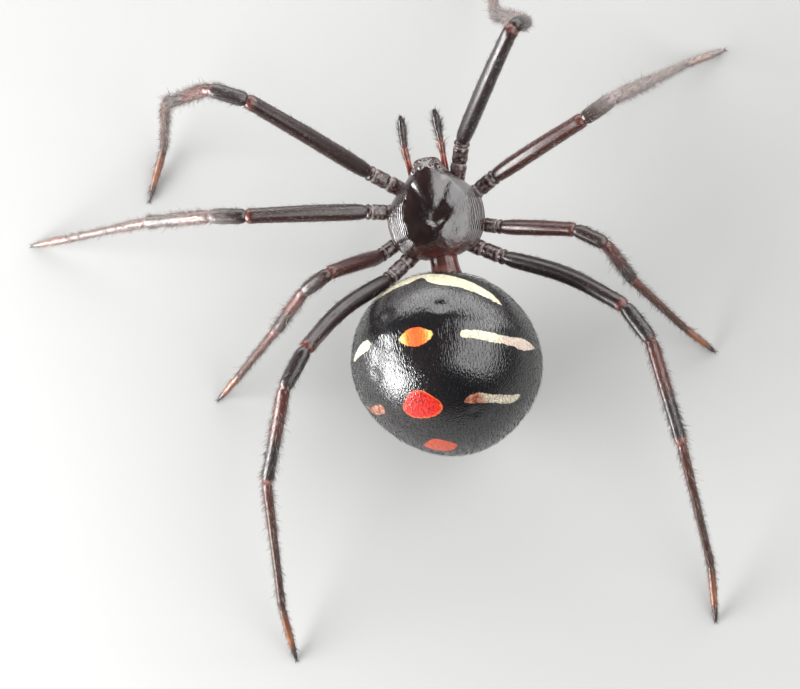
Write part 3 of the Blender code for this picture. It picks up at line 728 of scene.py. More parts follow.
# Carapace.
# The front half's back is one hard, very glossy dark brown shield. The head rises in front, set off
# by two grooves that meet in a deep pit, and a fine raised bead runs round the shield's edge.
CARAPACE_FRONT = 1.56
CARAPACE_REAR = -1.40
CARAPACE_BASE_Z = 3.02
CARAPACE_UNDERSIDE = 0.05
CARAPACE_HALF_WIDTHS = (
    (-1.40, 0.51), (-1.20, 0.97), (-0.90, 1.24), (-0.50, 1.39), (-0.10, 1.42), (0.25, 1.37),
    (0.55, 1.17), (0.80, 0.95), (1.05, 0.68), (1.30, 0.50), (1.56, 0.38),
)
CARAPACE_HEIGHTS = (
    (-1.40, 0.28), (-1.10, 0.46), (-0.70, 0.66), (-0.20, 0.72), (0.30, 0.80), (0.75, 0.89),
    (1.10, 0.90), (1.35, 0.80), (1.56, 0.55),
)
CARAPACE_MESH = (88, 72)
# Colours from the shield's darkest middle to its red rear edge, and along its margin
SHIELD_BROWNS = (
    (0.0, (0.009, 0.006, 0.0055)), (0.35, (0.017, 0.008, 0.007)), (0.80, (0.040, 0.010, 0.008)),
    (1.0, (0.10, 0.020, 0.014)),
)
SHIELD_MARGIN = (0.040, 0.025, 0.021)
# Dents and swellings: place across and along, how deep (mm, down is less), and how far they reach.
# Those off the middle are on both sides
CARAPACE_DENTS = (
    (0.0, -0.16, -0.090, 0.52), (0.0, -0.24, -0.045, 0.26), (0.20, -0.06, -0.020, 0.26),
    (0.40, -0.75, -0.030, 0.34), (1.02, -0.42, -0.025, 0.22), (0.62, 0.06, -0.045, 0.60),
    (0.66, -0.55, -0.035, 0.50), (0.0, 0.62, 0.030, 0.42), (0.20, -0.62, 0.025, 0.22),
    (0.0, -0.56, -0.035, 0.20),
)
# The grooves that set the head off, from the pit forwards on both sides, pressed in at short steps
HEAD_GROOVE = ((0.20, 0.04), (0.56, 0.76))
GROOVE_DEPTH = -0.021
# A fold behind the pit, shaped like a V
PIT_FOLD = ((0.0, -0.46), (0.42, -0.12))
PIT_FOLD_DEPTH = -0.012
GROOVE_STEPS = 8
GROOVE_REACH = 0.19
# The middle of the head, which the eyes look away from, and the height and reach of the mound
# under each eye
HEAD_MIDDLE = Vector((0.0, 0.75, CARAPACE_BASE_Z))
EYE_MOUND = (0.030, 0.15)
# The raised edge runs from one side of the face round the shield's rear to the other side. Its turn
# is in degrees from the right, and the corner makes it turn sharply at the waist
RIM_BEAD = 0.024
RIM_TURN = (-56, 292)
RIM_CORNER = 14
RIM_STEPS = 60
RIM_SIDES = 10


def pick(piece, wanted):
    """In edit mode, selects the points with these numbers and no others."""
    bpy.ops.mesh.select_all(action="DESELECT")
    shape = bmesh.from_edit_mesh(piece.data)
    shape.verts.ensure_lookup_table()
    for number in wanted:
        shape.verts[number].select_set(True)
    bmesh.update_edit_mesh(piece.data)


def add_ball(name, segments, rings):
    """A unit ball whose poles lie along Y, and its points in rows from the front pole to the rear."""
    deselect()
    bpy.ops.mesh.primitive_uv_sphere_add(
        segments=segments, ring_count=rings, radius=1.0, rotation=(math.pi / 2, 0, 0)
    )
    ball = bpy.context.object
    ball.name = name
    bpy.ops.object.transform_apply(location=True, rotation=True, scale=True)
    rows = {}
    for vert in ball.data.vertices:
        rows.setdefault(round(vert.co.y, 4), []).append(vert.index)
    return ball, [rows[key] for key in sorted(rows, reverse=True)]


def swell(ball, rows, front, rear, half_width, top, bottom, base):
    """Shapes a ball ring by ring: each takes its own half width, and height above and below a base."""
    middle, half = 0.5 * (front + rear), 0.5 * (front - rear)
    heights = [(vert.co.y, vert.co.z) for vert in ball.data.vertices]
    bpy.ops.object.mode_set(mode="EDIT")
    bpy.ops.mesh.select_mode(type="VERT")
    for row in rows:
        share = heights[row[0]][0]
        along = middle + half * share
        round_here = max(math.sqrt(max(1 - share * share, 0)), 1e-6)
        centre = (0, share, 0)
        pick(ball, row)
        bpy.ops.transform.resize(value=(half_width(along) / round_here, 1, 1), center_override=centre)
        for part, height in (
            ([number for number in row if heights[number][1] > 1e-5], top(along)),
            ([number for number in row if heights[number][1] < -1e-5], bottom(along)),
        ):
            if part:
                pick(ball, part)
                bpy.ops.transform.resize(value=(1, 1, height / round_here), center_override=centre)
    bpy.ops.mesh.select_all(action="SELECT")
    bpy.ops.transform.resize(value=(1, half, 1), center_override=(0, 0, 0))
    bpy.ops.transform.translate(value=(0, middle, base))
    bpy.ops.object.mode_set(mode="OBJECT")


def press(piece, place, move, reach):
    """Moves the point nearest the place, and its neighbours less and less out to the reach."""
    nearest = min(piece.data.vertices, key=lambda vert: (vert.co - Vector(place)).length_squared).index
    bpy.ops.object.mode_set(mode="EDIT")
    pick(piece, [nearest])
    bpy.ops.transform.translate(
        value=move, use_proportional_edit=True, proportional_edit_falloff="SMOOTH", proportional_size=reach
    )
    bpy.ops.object.mode_set(mode="OBJECT")


def settle(piece, matrix):
    """Sets a finished shape in its place, and keeps the place in its mesh."""
    deselect()
    piece.select_set(True)
    bpy.context.view_layer.objects.active = piece
    piece.matrix_world = matrix @ piece.matrix_world
    bpy.ops.object.transform_apply(location=True, rotation=True, scale=True)


def carapace_top(across, along):
    """Height of the shield over a place on it, before its dents."""
    share = min(abs(across) / flowing(CARAPACE_HALF_WIDTHS, along), 1.0)
    return CARAPACE_BASE_Z + flowing(CARAPACE_HEIGHTS, along) * math.sqrt(1 - share * share)


FRONT_STAND = (
    Matrix.Translation(under_body) @ Matrix.Scale(MM, 4) @ Matrix.Translation(TURN_CENTRE + BODY_SHIFT)
    @ Matrix.Rotation(math.radians(BODY_TURN), 4, "Z") @ Matrix.Translation(-TURN_CENTRE)
)
shield, rows = add_ball("carapace_shield", *CARAPACE_MESH)
swell(
    shield, rows, CARAPACE_FRONT, CARAPACE_REAR, lambda y: flowing(CARAPACE_HALF_WIDTHS, y),
    lambda y: flowing(CARAPACE_HEIGHTS, y), lambda y: CARAPACE_UNDERSIDE, CARAPACE_BASE_Z,
)
for across, along, depth, reach in CARAPACE_DENTS:
    for side in (1, -1) if across else (1,):
        press(shield, (side * across, along, carapace_top(across, along)), (0, 0, depth), reach)
for (start, end), depth in ((HEAD_GROOVE, GROOVE_DEPTH), (PIT_FOLD, PIT_FOLD_DEPTH)):
    for share in evenly(GROOVE_STEPS):
        across, along = Vector(start).lerp(Vector(end), share)
        for side in (-1, 1):
            press(shield, (side * across, along, carapace_top(across, along)), (0, 0, depth), GROOVE_REACH)
eyes = {name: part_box(name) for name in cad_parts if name.startswith("eye_")}
for low, high in eyes.values():
    centre = FRONT_STAND.inverted() @ (0.5 * (Vector(low) + Vector(high)))
    out = (centre - HEAD_MIDDLE).normalized()
    press(shield, centre, out * EYE_MOUND[0], EYE_MOUND[1])
keep(shield, "along", np.array([vert.co.y for vert in shield.data.vertices]))
keep(shield, "edge", np.array([
    min(1.0, abs(vert.co.x) / flowing(CARAPACE_HALF_WIDTHS, vert.co.y))
    if vert.co.z > CARAPACE_BASE_Z else 1.0
    for vert in shield.data.vertices
]))
settle(shield, FRONT_STAND)
refine(shield, 1)

shield_gloss, tree, shader = new_material("shield_gloss", IOR=1.50, Coat_Weight=1.0, Coat_Roughness=0.12)
edge = kept(tree, "edge")
along = kept(tree, "along")
redder = maths(tree, "ADD", uneven(tree, 1100.0, 0.0, 0.30, 4.0), fade(tree, along, -0.75, -1.38, 0.0, 0.70))
brown = ramp(tree, redder, SHIELD_BROWNS)
brown = blend(tree, fade(tree, edge, 0.86, 1.0, 0.0, 0.5), brown, SHIELD_MARGIN)
# Fine wavy ridges run along the margin
wobble = maths(tree, "MULTIPLY", speckle(tree, 2200.0), 16.0)
ridges = maths(tree, "SINE", maths(tree, "ADD", maths(tree, "MULTIPLY", edge, 150.0), wobble))
ridges = maths(tree, "MULTIPLY", ridges, fade(tree, edge, 0.50, 0.95))
bump = relief(tree, ridges, 0.0060)
bump = relief(tree, speckle(tree, 7000.0, 4.0), 0.0130, bump)
bump = relief(tree, speckle(tree, 20000.0, 2.0), 0.0050, bump)
rough = fade(tree, speckle(tree, 2200.0, 4.0), 0.3, 0.75, 0.17, 0.27)
feed(tree, shader, Base_Color=brown, Roughness=rough, Normal=bump, Coat_Normal=bump)
finish_piece(shield, shield_gloss, "shell_brown", "carapace")

line, radii = [], []
half_length = 0.5 * (CARAPACE_FRONT - CARAPACE_REAR)
for share in evenly(RIM_STEPS):
    turn = math.radians(RIM_TURN[0] + RIM_TURN[1] * share)
    along = CARAPACE_FRONT - half_length * (1 + math.sin(turn))
    side = math.copysign(1, math.cos(turn))
    closing = min(1.0, (1 - math.sin(turn)) * RIM_CORNER) ** 0.5
    across = side * flowing(CARAPACE_HALF_WIDTHS, along) * closing
    line.append(FRONT_STAND @ Vector((across, along, CARAPACE_BASE_Z)))
    radii.append(RIM_BEAD * MM * (0.6 + 0.4 * math.sin(math.pi * share)))
rim = draw_out("carapace_rim", line, radii, RIM_SIDES)
refine(rim, 1)
rim_gloss = two_tone(
    "rim_gloss", (0.4, 0.1), ((0.016, 0.009, 0.008), (0.055, 0.018, 0.014)), (1200.0, 3.0, 0.15),
    (9000.0, 0.16, 0.28),
)
finish_piece(rim, rim_gloss, "shell_red")

# Eyes.
# Eight small simple eyes stand in two rows on low mounds of the head. Each is a dark, polished lens
# in a narrow raised ring of paler shell.
EYE_MESH = (32, 36)
# The ring: how far it swells, where its middle is and how far it reaches, in shares of the radius
EYE_RING = 0.24
RING_MIDDLE = 0.16
RING_REACH = 0.32


def add_eye(name, low, high):
    """A lens, with a ring raised round its foot from its own rows of faces."""
    radius = 0.5 * (high.x - low.x)
    centre = 0.5 * (low + high)
    inside = FRONT_STAND @ HEAD_MIDDLE
    deselect()
    bpy.ops.mesh.primitive_uv_sphere_add(segments=EYE_MESH[0], ring_count=EYE_MESH[1], radius=radius)
    eye = bpy.context.object
    eye.name = name + "_lens"
    rows = {}
    for vert in eye.data.vertices:
        rows.setdefault(round(vert.co.z / radius, 3), []).append(vert.index)
    bpy.ops.object.mode_set(mode="EDIT")
    bpy.ops.mesh.select_mode(type="VERT")
    for height, row in rows.items():
        if abs(height - RING_MIDDLE) < RING_REACH:
            swollen = 1.0 + EYE_RING * math.cos(0.5 * math.pi * (height - RING_MIDDLE) / RING_REACH)
            pick(eye, row)
            bpy.ops.transform.resize(value=(swollen, swollen, 1), center_override=(0, 0, 0))
    bpy.ops.object.mode_set(mode="OBJECT")
    for face in eye.data.polygons:
        face.material_index = 0 if face.center.z > (RING_MIDDLE + 0.7 * RING_REACH) * radius else 1
    settle(eye, Matrix.Translation(centre) @ (centre - inside).to_track_quat("Z", "Y").to_matrix().to_4x4())
    return eye


eye_lens = two_tone(
    "eye_lens", (1.0, 0.02), ((0.006, 0.005, 0.006), (0.030, 0.020, 0.018)), (7000.0, 3.0, 0.2),
    (15000.0, 0.03, 0.07),
)
eye_ring = two_tone(
    "eye_ring", (0.5, 0.12), ((0.11, 0.065, 0.052), (0.30, 0.22, 0.19)), (8000.0, 3.0, 0.15),
    (15000.0, 0.2, 0.34),
)
for name, (low, high) in eyes.items():
    eye = add_eye(name, Vector(low), Vector(high))
    rings = [face.material_index for face in eye.data.polygons]
    refine(eye, 0)
    finish_piece(eye, eye_lens, "eye_black", name)
    eye.data.materials.append(eye_ring)
    eye.data.polygons.foreach_set("material_index", rings)

# Mouthparts.
# Two stout chelicerae hang from the front of the head, each with a short hooked fang. The endites
# and the labium close the mouth behind them. All are hard, glossy and reddish brown.
MOUTH_STEPS = 14
MOUTH_SIDES = 14
# Each part: its root, its tip, its radius along the way, and how far it bows forward
MOUTH = {
    "chelicera": (
        (0.20, 1.30, 2.90), (0.17, 1.42, 2.22),
        ((0.0, 0.135), (0.15, 0.160), (0.45, 0.172), (0.80, 0.150), (0.95, 0.118), (1.0, 0.085)), 0.05,
    ),
    "fang": (
        (0.17, 1.44, 2.13), (0.03, 1.33, 1.92),
        ((0.0, 0.050), (0.3, 0.045), (0.7, 0.028), (1.0, 0.006)), 0.05,
    ),
    "endite": (
        (0.26, 0.98, 2.40), (0.13, 1.22, 2.30),
        ((0.0, 0.055), (0.2, 0.110), (0.55, 0.130), (0.85, 0.105), (1.0, 0.060)), 0.0,
    ),
}
LABIUM = (
    (0.0, 1.06, 2.44), (0.0, 1.22, 2.42), ((0.0, 0.06), (0.3, 0.088), (0.7, 0.080), (1.0, 0.035)), 0.0,
)


def add_mouthpart(name, start, end, profile, bow, side):
    """One bowed, rounded part, on one side of the mouth or in its middle."""
    line, radii = [], []
    for share in eased(MOUTH_STEPS):
        point = Vector(start).lerp(Vector(end), share) + Vector((0, bow * math.sin(math.pi * share), 0))
        line.append(FRONT_STAND @ Vector((side * point.x, point.y, point.z)))
        radii.append(flowing(profile, share) * MM)
    piece = draw_out(name + "_skin", line, radii, MOUTH_SIDES)
    refine(piece, 1)
    return piece


mouth_shell = two_tone(
    "mouth_shell", (0.4, 0.12), ((0.022, 0.009, 0.007), (0.075, 0.018, 0.012)), (3000.0, 4.0, 0.2),
    (8000.0, 0.2, 0.32), (18000.0, 2.0, 0.0015),
)
for side_name, side in (("left", -1), ("right", 1)):
    for kind, shape in MOUTH.items():
        node = kind + "_" + side_name
        piece = add_mouthpart(node, *shape, side)
        horn = kind == "fang"
        finish_piece(piece, claw_horn if horn else mouth_shell, "claw_red" if horn else "shell_brown", node)
finish_piece(add_mouthpart("labium", *LABIUM, 1), mouth_shell, "shell_brown", "labium")

# Sternum.
# A dark shield under the front half closes the body between the legs' roots. It is broad and
# square in front and runs to a point behind, with three low swellings along each side.
STERNUM_HALF_WIDTHS = (
    (-1.25, 0.10), (-1.10, 0.28), (-0.85, 0.42), (-0.50, 0.60), (-0.15, 0.70), (0.22, 0.70),
    (0.60, 0.56), (0.85, 0.38), (1.00, 0.24),
)
STERNUM_TOP = 2.91
STERNUM_BOTTOM = 2.28
STERNUM_MESH = (56, 40)
STERNUM_KNOBS = ((0.46, 0.55), (0.60, 0.05), (0.52, -0.42))
KNOB_HEIGHT = 0.03
KNOB_REACH = 0.2
plate, rows = add_ball("sternum_plate", *STERNUM_MESH)
half_depth = 0.5 * (STERNUM_TOP - STERNUM_BOTTOM)
swell(
    plate, rows, STERNUM_HALF_WIDTHS[-1][0], STERNUM_HALF_WIDTHS[0][0],
    lambda y: flowing(STERNUM_HALF_WIDTHS, y), lambda y: half_depth, lambda y: 0.9 * half_depth,
    0.5 * (STERNUM_TOP + STERNUM_BOTTOM),
)
for across, along in STERNUM_KNOBS:
    for side in (-1, 1):
        place = (side * across, along, STERNUM_BOTTOM + 0.1)
        press(plate, place, (0, 0, -KNOB_HEIGHT), KNOB_REACH)
settle(plate, FRONT_STAND)
refine(plate, 1)
plate_shell = two_tone(
    "plate_shell", (0.2, 0.15), ((0.010, 0.007, 0.007), (0.034, 0.014, 0.011)), (1600.0, 4.0, 0.2),
    (7000.0, 0.26, 0.40), (20000.0, 3.0, 0.002),
)
finish_piece(plate, plate_shell, "shell_black", "sternum")

# Palps.
# The two short feelers beside the mouth are built like small legs of two lengths. The inner one is
# red and glossy with few hairs, and the outer one is dark and furry.
PALP_ROOT = (0.50, 1.12, 2.64)
PALP_LENGTHS = (1.03, 0.98)
PALP_POSES = {"left": ((80, 12), (90, 24)), "right": ((94, 20), (96, 16))}
PALP_SKIN = (
    ((0.0, 0.075), (0.06, 0.095), (0.30, 0.098), (0.55, 0.090), (0.62, 0.080), (0.66, 0.092),
     (0.85, 0.105), (0.94, 0.098), (1.0, 0.082)),
    ((0.0, 0.080), (0.05, 0.100), (0.16, 0.104), (0.22, 0.092), (0.27, 0.108), (0.55, 0.122),
     (0.80, 0.100), (0.95, 0.055), (1.0, 0.024)),
)
PALP_RINGS = (20, 20)
# Colours along a palp, 0 at its root and 2 at its tip
PALP_COLOURS = (
    (0.0, (0.12, 0.020, 0.012)), (0.55, (0.26, 0.038, 0.020)), (0.62, (0.36, 0.12, 0.07)),
    (0.70, (0.13, 0.030, 0.02)), (1.0, (0.20, 0.07, 0.045)), (1.1, (0.045, 0.026, 0.022)),
    (1.5, (0.030, 0.022, 0.021)), (2.0, (0.016, 0.011, 0.010)),
)
PALP_HAIR = (
    (0.0, 30, 0.10, 40), (0.7, 90, 0.15, 42), (1.0, 300, 0.20, 44), (1.6, 420, 0.18, 38),
    (2.0, 420, 0.12, 30),
)
PALP_GREY_SHARE = 0.5
PALP_HAIR_THICKNESS = 0.0055
palp_shell, tree, shader = new_material("palp_shell", Coat_Weight=0.3, Coat_Roughness=0.12)
palp_hair_colour, hair_tree, hair_shader = new_material("palp_hair_colour")
for tree, shader in ((tree, shader), (hair_tree, hair_shader)):
    place = maths(tree, "ADD", kept(tree, "along"), fade(tree, speckle(tree, 5000.0), 0.2, 0.8, -0.05, 0.05))
    place = maths(tree, "DIVIDE", place, len(PALP_SKIN))
    colour = ramp(tree, place, [(at / len(PALP_SKIN), tone) for at, tone in PALP_COLOURS])
    colour = blend(tree, kept(tree, "silver"), colour, HAIR_SILVER)
    feed(tree, shader, Base_Color=colour, Roughness=uneven(tree, 9000.0, 0.24, 0.36))
for number, (side_name, side) in enumerate((("left", -1), ("right", 1))):
    root = turned((side * PALP_ROOT[0], PALP_ROOT[1], PALP_ROOT[2]))
    (turn, rise), (end_turn, end_rise) = PALP_POSES[side_name]
    elbow = root + PALP_LENGTHS[0] * heading_vector(side, turn, rise)
    joints = [root, elbow, elbow + PALP_LENGTHS[1] * heading_vector(side, end_turn, end_rise)]
    line, radii, along = limb_line(joints, PALP_SKIN, PALP_RINGS)
    name = "palp_" + side_name
    skin = draw_out(name, line, radii, LEG_SIDES)
    mark_limb(skin, line, along, LEG_SIDES, 0.0, 0.0)
    refine(skin, 1)
    finish_piece(skin, palp_shell, "leg_brown", name + "_femur", name + "_tarsus")
    coat = limb_hair(
        name + "_hair", line, radii, along, 0.0, PALP_GREY_SHARE, PALP_HAIR, HAIR_SEED + 20 + number,
        PALP_HAIR_THICKNESS,
    )
    finish_piece(coat, palp_hair_colour, "leg_black")

# Pedicel.
# The narrow waist is a short tube of tough reddish skin, gathered in fine folds that run along it
# from the shield's rear edge to the abdomen.
ABDOMEN_SIZE = (5.55, 5.25, 5.40)
ABDOMEN_TURN = 1.0
ABDOMEN_ROLL = 15.5
REAR_TAPER = 0.12
FRONT_LIFT = 0.42
PEDICEL_FRONT = (0.0, -1.22, 2.80)
PEDICEL_AIM = (0.06, 0.96, -0.28)
PEDICEL_SKIN = ((0.0, 0.43), (0.3, 0.41), (0.6, 0.44), (0.85, 0.50), (1.0, 0.56))
PEDICEL_STEPS = 24
PEDICEL_SIDES = 60
PEDICEL_FOLD = 0.010
# Its rear end stops inside the abdomen, at this share of the way to the surface
PEDICEL_END = 0.985


def abdomen_rows(directions):
    """The abdomen's surface in some directions from its centre, in its own frame."""
    taper = 1 - REAR_TAPER * np.maximum(-directions[:, 1], 0) ** 2
    rows = directions * 0.5 * np.array(ABDOMEN_SIZE)
    rows[:, 0] *= taper
    rows[:, 2] = rows[:, 2] * taper + FRONT_LIFT * directions[:, 1]
    return rows


def abdomen_point(direction):
    """The abdomen's surface in one direction."""
    return Vector(abdomen_rows(np.array([direction]))[0])


sideways_roll = Matrix.Rotation(math.radians(-ABDOMEN_ROLL), 3, "Y")
abdomen_turned = Matrix.Rotation(math.radians(ABDOMEN_TURN), 3, "Z") @ sideways_roll
ABDOMEN_STAND = Matrix.Translation(placed(ABDOMEN_CENTRE)) @ abdomen_turned.to_4x4() @ Matrix.Scale(MM, 4)
front = FRONT_STAND @ Vector(PEDICEL_FRONT)
rear = ABDOMEN_STAND @ (abdomen_point(Vector(PEDICEL_AIM).normalized()) * PEDICEL_END)
line = [front.lerp(rear, share) for share in evenly(PEDICEL_STEPS)]
radii = [flowing(PEDICEL_SKIN, share) * MM for share in evenly(PEDICEL_STEPS)]
waist = draw_out("pedicel_skin", line, radii, PEDICEL_SIDES)
bpy.ops.object.mode_set(mode="EDIT")
pick(waist, [vert.index for vert in waist.data.vertices if vert.index % 3 == 0])
bpy.ops.transform.shrink_fatten(value=-PEDICEL_FOLD * MM)
bpy.ops.object.mode_set(mode="OBJECT")
refine(waist, 1)
waist_skin = two_tone(
    "waist_skin", (0.3, 0.15), ((0.045, 0.013, 0.010), (0.13, 0.034, 0.026)), (2600.0, 4.0, 0.2),
    (7000.0, 0.24, 0.40), (14000.0, 3.0, 0.004),
)
finish_piece(waist, waist_skin, "shell_red", "pedicel")

# Abdomen.
# A round, taut sac of soft black skin with a satin shine, under a thin coat of fine short hairs
# that lie back from the waist to the spinnerets. Cream bands and red spots are in the skin itself,
# and small dents show where muscles pull from inside.
ABDOMEN_MESH = (144, 112)
ABDOMEN_BLACK = (0.0075, 0.0072, 0.0082)
ABDOMEN_CLOUD = (0.013, 0.010, 0.010)
FUR_BLACK = (0.008, 0.008, 0.009)
MARK_CREAM = (0.74, 0.70, 0.50)
CREAM_GRAIN = (0.36, 0.31, 0.22)
MARK_PINK = (0.56, 0.47, 0.39)
PINK_GRAIN = (0.22, 0.14, 0.12)
MARK_RED = (0.64, 0.020, 0.010)
RED_GRAIN = (0.22, 0.006, 0.006)
DEEP_RED = (0.22, 0.006, 0.004)
MARK_ORANGE = (0.84, 0.20, 0.05)
# The front spot's colours, from its middle line to its sides
SPOT_GLOW = (
    (0.0, (0.84, 0.10, 0.025)), (0.48, (0.86, 0.15, 0.030)), (0.68, (0.86, 0.36, 0.08)),
    (0.86, (0.88, 0.58, 0.20)),
)
MARK_BROWN = (0.16, 0.035, 0.015)
MARK_TAN = (0.42, 0.20, 0.12)
# Places on the abdomen: share of the half width to the right, and degrees from the top towards the
# front. The band and the stripes have rows of these with half their breadth, in degrees
BASAL_BAND = (
    (-0.56, 58.0, -3.0), (-0.50, 58.7, 2.4), (-0.42, 59.6, 4.4), (-0.30, 60.9, 6.2), (-0.18, 62.0, 7.4),
    (-0.08, 63.2, 7.6), (0.0, 64.6, 4.8), (0.04, 64.6, 4.6), (0.12, 61.0, 7.2), (0.20, 58.4, 8.4),
    (0.34, 56.8, 8.0), (0.48, 56.4, 7.0), (0.62, 55.2, 6.6), (0.72, 54.4, 5.6), (0.79, 53.0, 3.0),
    (0.84, 52.0, -3.0),
)
FRONT_STRIPE = (
    (-0.88, 10.6, -3.0), (-0.83, 10.8, 2.6), (-0.76, 11.8, 4.2), (-0.68, 12.5, 5.0), (-0.60, 12.4, 4.2),
    (-0.55, 12.0, 2.6), (-0.50, 12.0, -3.0), (0.46, 6.5, -3.0), (0.50, 6.5, 2.4), (0.58, 6.4, 3.4),
    (0.68, 5.7, 4.3), (0.76, 4.4, 5.0), (0.84, 3.0, 5.0), (0.89, 2.0, 6.4), (0.93, 1.0, 10.0),
    (0.965, 0.0, 14.5), (1.0, -1.0, 18.0),
)
REAR_STRIPE = (
    (-0.90, -54.0, -3.0), (-0.82, -50.8, 4.6), (-0.76, -47.6, 5.4), (-0.68, -43.4, 5.2), (-0.60, -40.4, 3.6),
    (-0.52, -39.0, -3.0), (0.33, -41.4, -3.0), (0.38, -41.6, 1.8), (0.46, -42.4, 4.0), (0.54, -44.6, 5.0),
    (0.62, -49.4, 4.6), (0.70, -57.0, 6.2), (0.77, -65.6, 6.0), (0.83, -71.0, 1.0), (0.88, -74.0, -3.0),
)
# Spots: place, half width and half length in degrees, how much narrower the front end is, and how
# round: 1 is a diamond, 2 an ellipse
SPOT_FRONT = (0.03, 7.2, 0.190, 6.4, 0.0, 1.6)
SPOT_MIDDLE = (-0.10, -36.4, 0.215, 10.4, 0.34, 2.1)
SPOT_REAR = (-0.13, -74.0, 0.190, 8.6, 0.30, 1.5)
# The hourglass underneath, split in two as in this species, with shares of the half length where
# the spots have degrees
HOURGLASS = ((0.0, 0.17, 0.17, 0.15, -0.55, 3.0), (0.0, -0.26, 0.14, 0.11, 0.45, 3.0))
# Muscle dents: place, depth and reach in mm, on both sides
ABDOMEN_DENTS = (
    (0.30, 28.0, 0.050, 0.34), (0.54, -12.0, 0.032, 0.30), (0.36, 8.0, 0.016, 0.26),
    (0.44, -52.0, 0.020, 0.26),
)
# Relief of the skin, in mm: its fine leather is drawn out along the body
LEATHER_GRAIN = (0.044, 0.22, 0.044)
LEATHER_DEPTH = 0.012
WRINKLE_DEPTH = 0.006


def on_abdomen(across, degrees):
    """The direction of a place given by its share across and its degrees from the top."""
    turn = math.radians(degrees)
    rest = math.sqrt(1 - across * across)
    return Vector((across, rest * math.sin(turn), rest * math.cos(turn)))


def curve_of(tree, value, rows, low, high):
    """Reads a row of (place, value) points as a smooth curve, for values between low and high."""
    made = add_node(tree, "ShaderNodeFloatCurve", {"Value": value})
    points = made.mapping.curves[0].points
    while len(points) < len(rows):
        points.new(1.0, 0.5)
    for point, (at, height) in zip(points, rows):
        point.location = (at, (height - low) / (high - low))
    made.mapping.update()
    return maths(tree, "ADD", maths(tree, "MULTIPLY", made.outputs[0], high - low), low)


def move(tree, operation, inputs):
    """One step of arithmetic on places."""
    return add_node(tree, "ShaderNodeVectorMath", inputs, operation=operation).outputs[0]


marks = bpy.data.node_groups.new("abdomen_marks", "ShaderNodeTree")
marks.interface.new_socket("Color", in_out="OUTPUT", socket_type="NodeSocketColor")
marks.interface.new_socket("Marked", in_out="OUTPUT", socket_type="NodeSocketFloat")
coordinates = add_node(marks, "ShaderNodeTexCoord").outputs["Object"]
own = add_node(marks, "ShaderNodeMapping", {
    "Vector": coordinates, "Location": placed(ABDOMEN_CENTRE), "Rotation": abdomen_turned.to_euler(),
    "Scale": [0.5 * size * MM for size in ABDOMEN_SIZE],
}, vector_type="TEXTURE").outputs[0]
# A little noise in the place makes the edges of the marks ragged
ragged = add_node(marks, "ShaderNodeTexNoise", {"Vector": own, "Scale": 22.0, "Detail": 3.0})
shift = move(marks, "SUBTRACT", {0: ragged.outputs["Color"], 1: (0.5, 0.5, 0.5)})
own = move(marks, "ADD", {0: own, 1: move(marks, "SCALE", {0: shift, "Scale": 0.045})})
x, y, z = add_node(marks, "ShaderNodeSeparateXYZ", {0: own}).outputs
z = maths(marks, "SUBTRACT", z, maths(marks, "MULTIPLY", y, 2 * FRONT_LIFT / ABDOMEN_SIZE[2]))
straight = add_node(marks, "ShaderNodeCombineXYZ", {0: x, 1: y, 2: z}).outputs[0]
x, y, z = add_node(marks, "ShaderNodeSeparateXYZ", {0: move(marks, "NORMALIZE", {0: straight})}).outputs
degrees = maths(marks, "DEGREES", maths(marks, "ARCTAN2", y, z))
across_share = maths(marks, "ADD", maths(marks, "MULTIPLY", x, 0.5), 0.5)


def stripe_mask(rows):
    """1 on a band whose middle and breadth change across the body, 0 off it."""
    middles = [(0.5 + 0.5 * at, turn) for at, turn, _ in rows]
    halves = [(0.5 + 0.5 * at, half) for at, _, half in rows]
    middle = curve_of(marks, across_share, middles, -90.0, 90.0)
    breadth = curve_of(marks, across_share, halves, -30.0, 30.0)
    apart = maths(marks, "ABSOLUTE", maths(marks, "SUBTRACT", degrees, middle))
    return fade(marks, maths(marks, "SUBTRACT", breadth, apart), -0.4, 0.7)


def spot_depth(forward, across, centre, wide, long, narrow, round_off):
    """1 at a spot's middle, 0 at its edge and less outside."""
    lengthwise = maths(marks, "DIVIDE", maths(marks, "SUBTRACT", forward, centre), long)
    tapered = maths(marks, "SUBTRACT", 1.0, maths(marks, "MULTIPLY", lengthwise, narrow))
    sideways = maths(marks, "SUBTRACT", x, across)
    sideways = maths(marks, "DIVIDE", sideways, maths(marks, "MULTIPLY", tapered, wide))
    powers = [
        maths(marks, "POWER", maths(marks, "ABSOLUTE", way), round_off) for way in (lengthwise, sideways)
    ]
    return maths(marks, "SUBTRACT", 1.0, maths(marks, "ADD", *powers))


grains = add_node(marks, "ShaderNodeTexVoronoi", {"Vector": coordinates, "Scale": 13000.0})
grains = fade(marks, grains.outputs["Distance"], 0.25, 0.75)
drawn_out = add_node(marks, "ShaderNodeMapping", {"Vector": own, "Scale": (95.0, 14.0, 95.0)}).outputs[0]
streaks = speckle(marks, 1.0, 2.0, drawn_out)
cream = blend(marks, maths(marks, "MULTIPLY", grains, 0.50), MARK_CREAM, CREAM_GRAIN)
pinkish = blend(marks, maths(marks, "MULTIPLY", grains, 0.4), MARK_PINK, PINK_GRAIN)
brown = blend(marks, fade(marks, speckle(marks, 9000.0, 2.0), 0.35, 0.65), MARK_BROWN, MARK_TAN)
streaked = blend(marks, fade(marks, streaks, 0.42, 0.62), pinkish, cream)
streaked = blend(marks, fade(marks, streaks, 0.36, 0.50, 0.8, 0.0), streaked, ABDOMEN_BLACK)

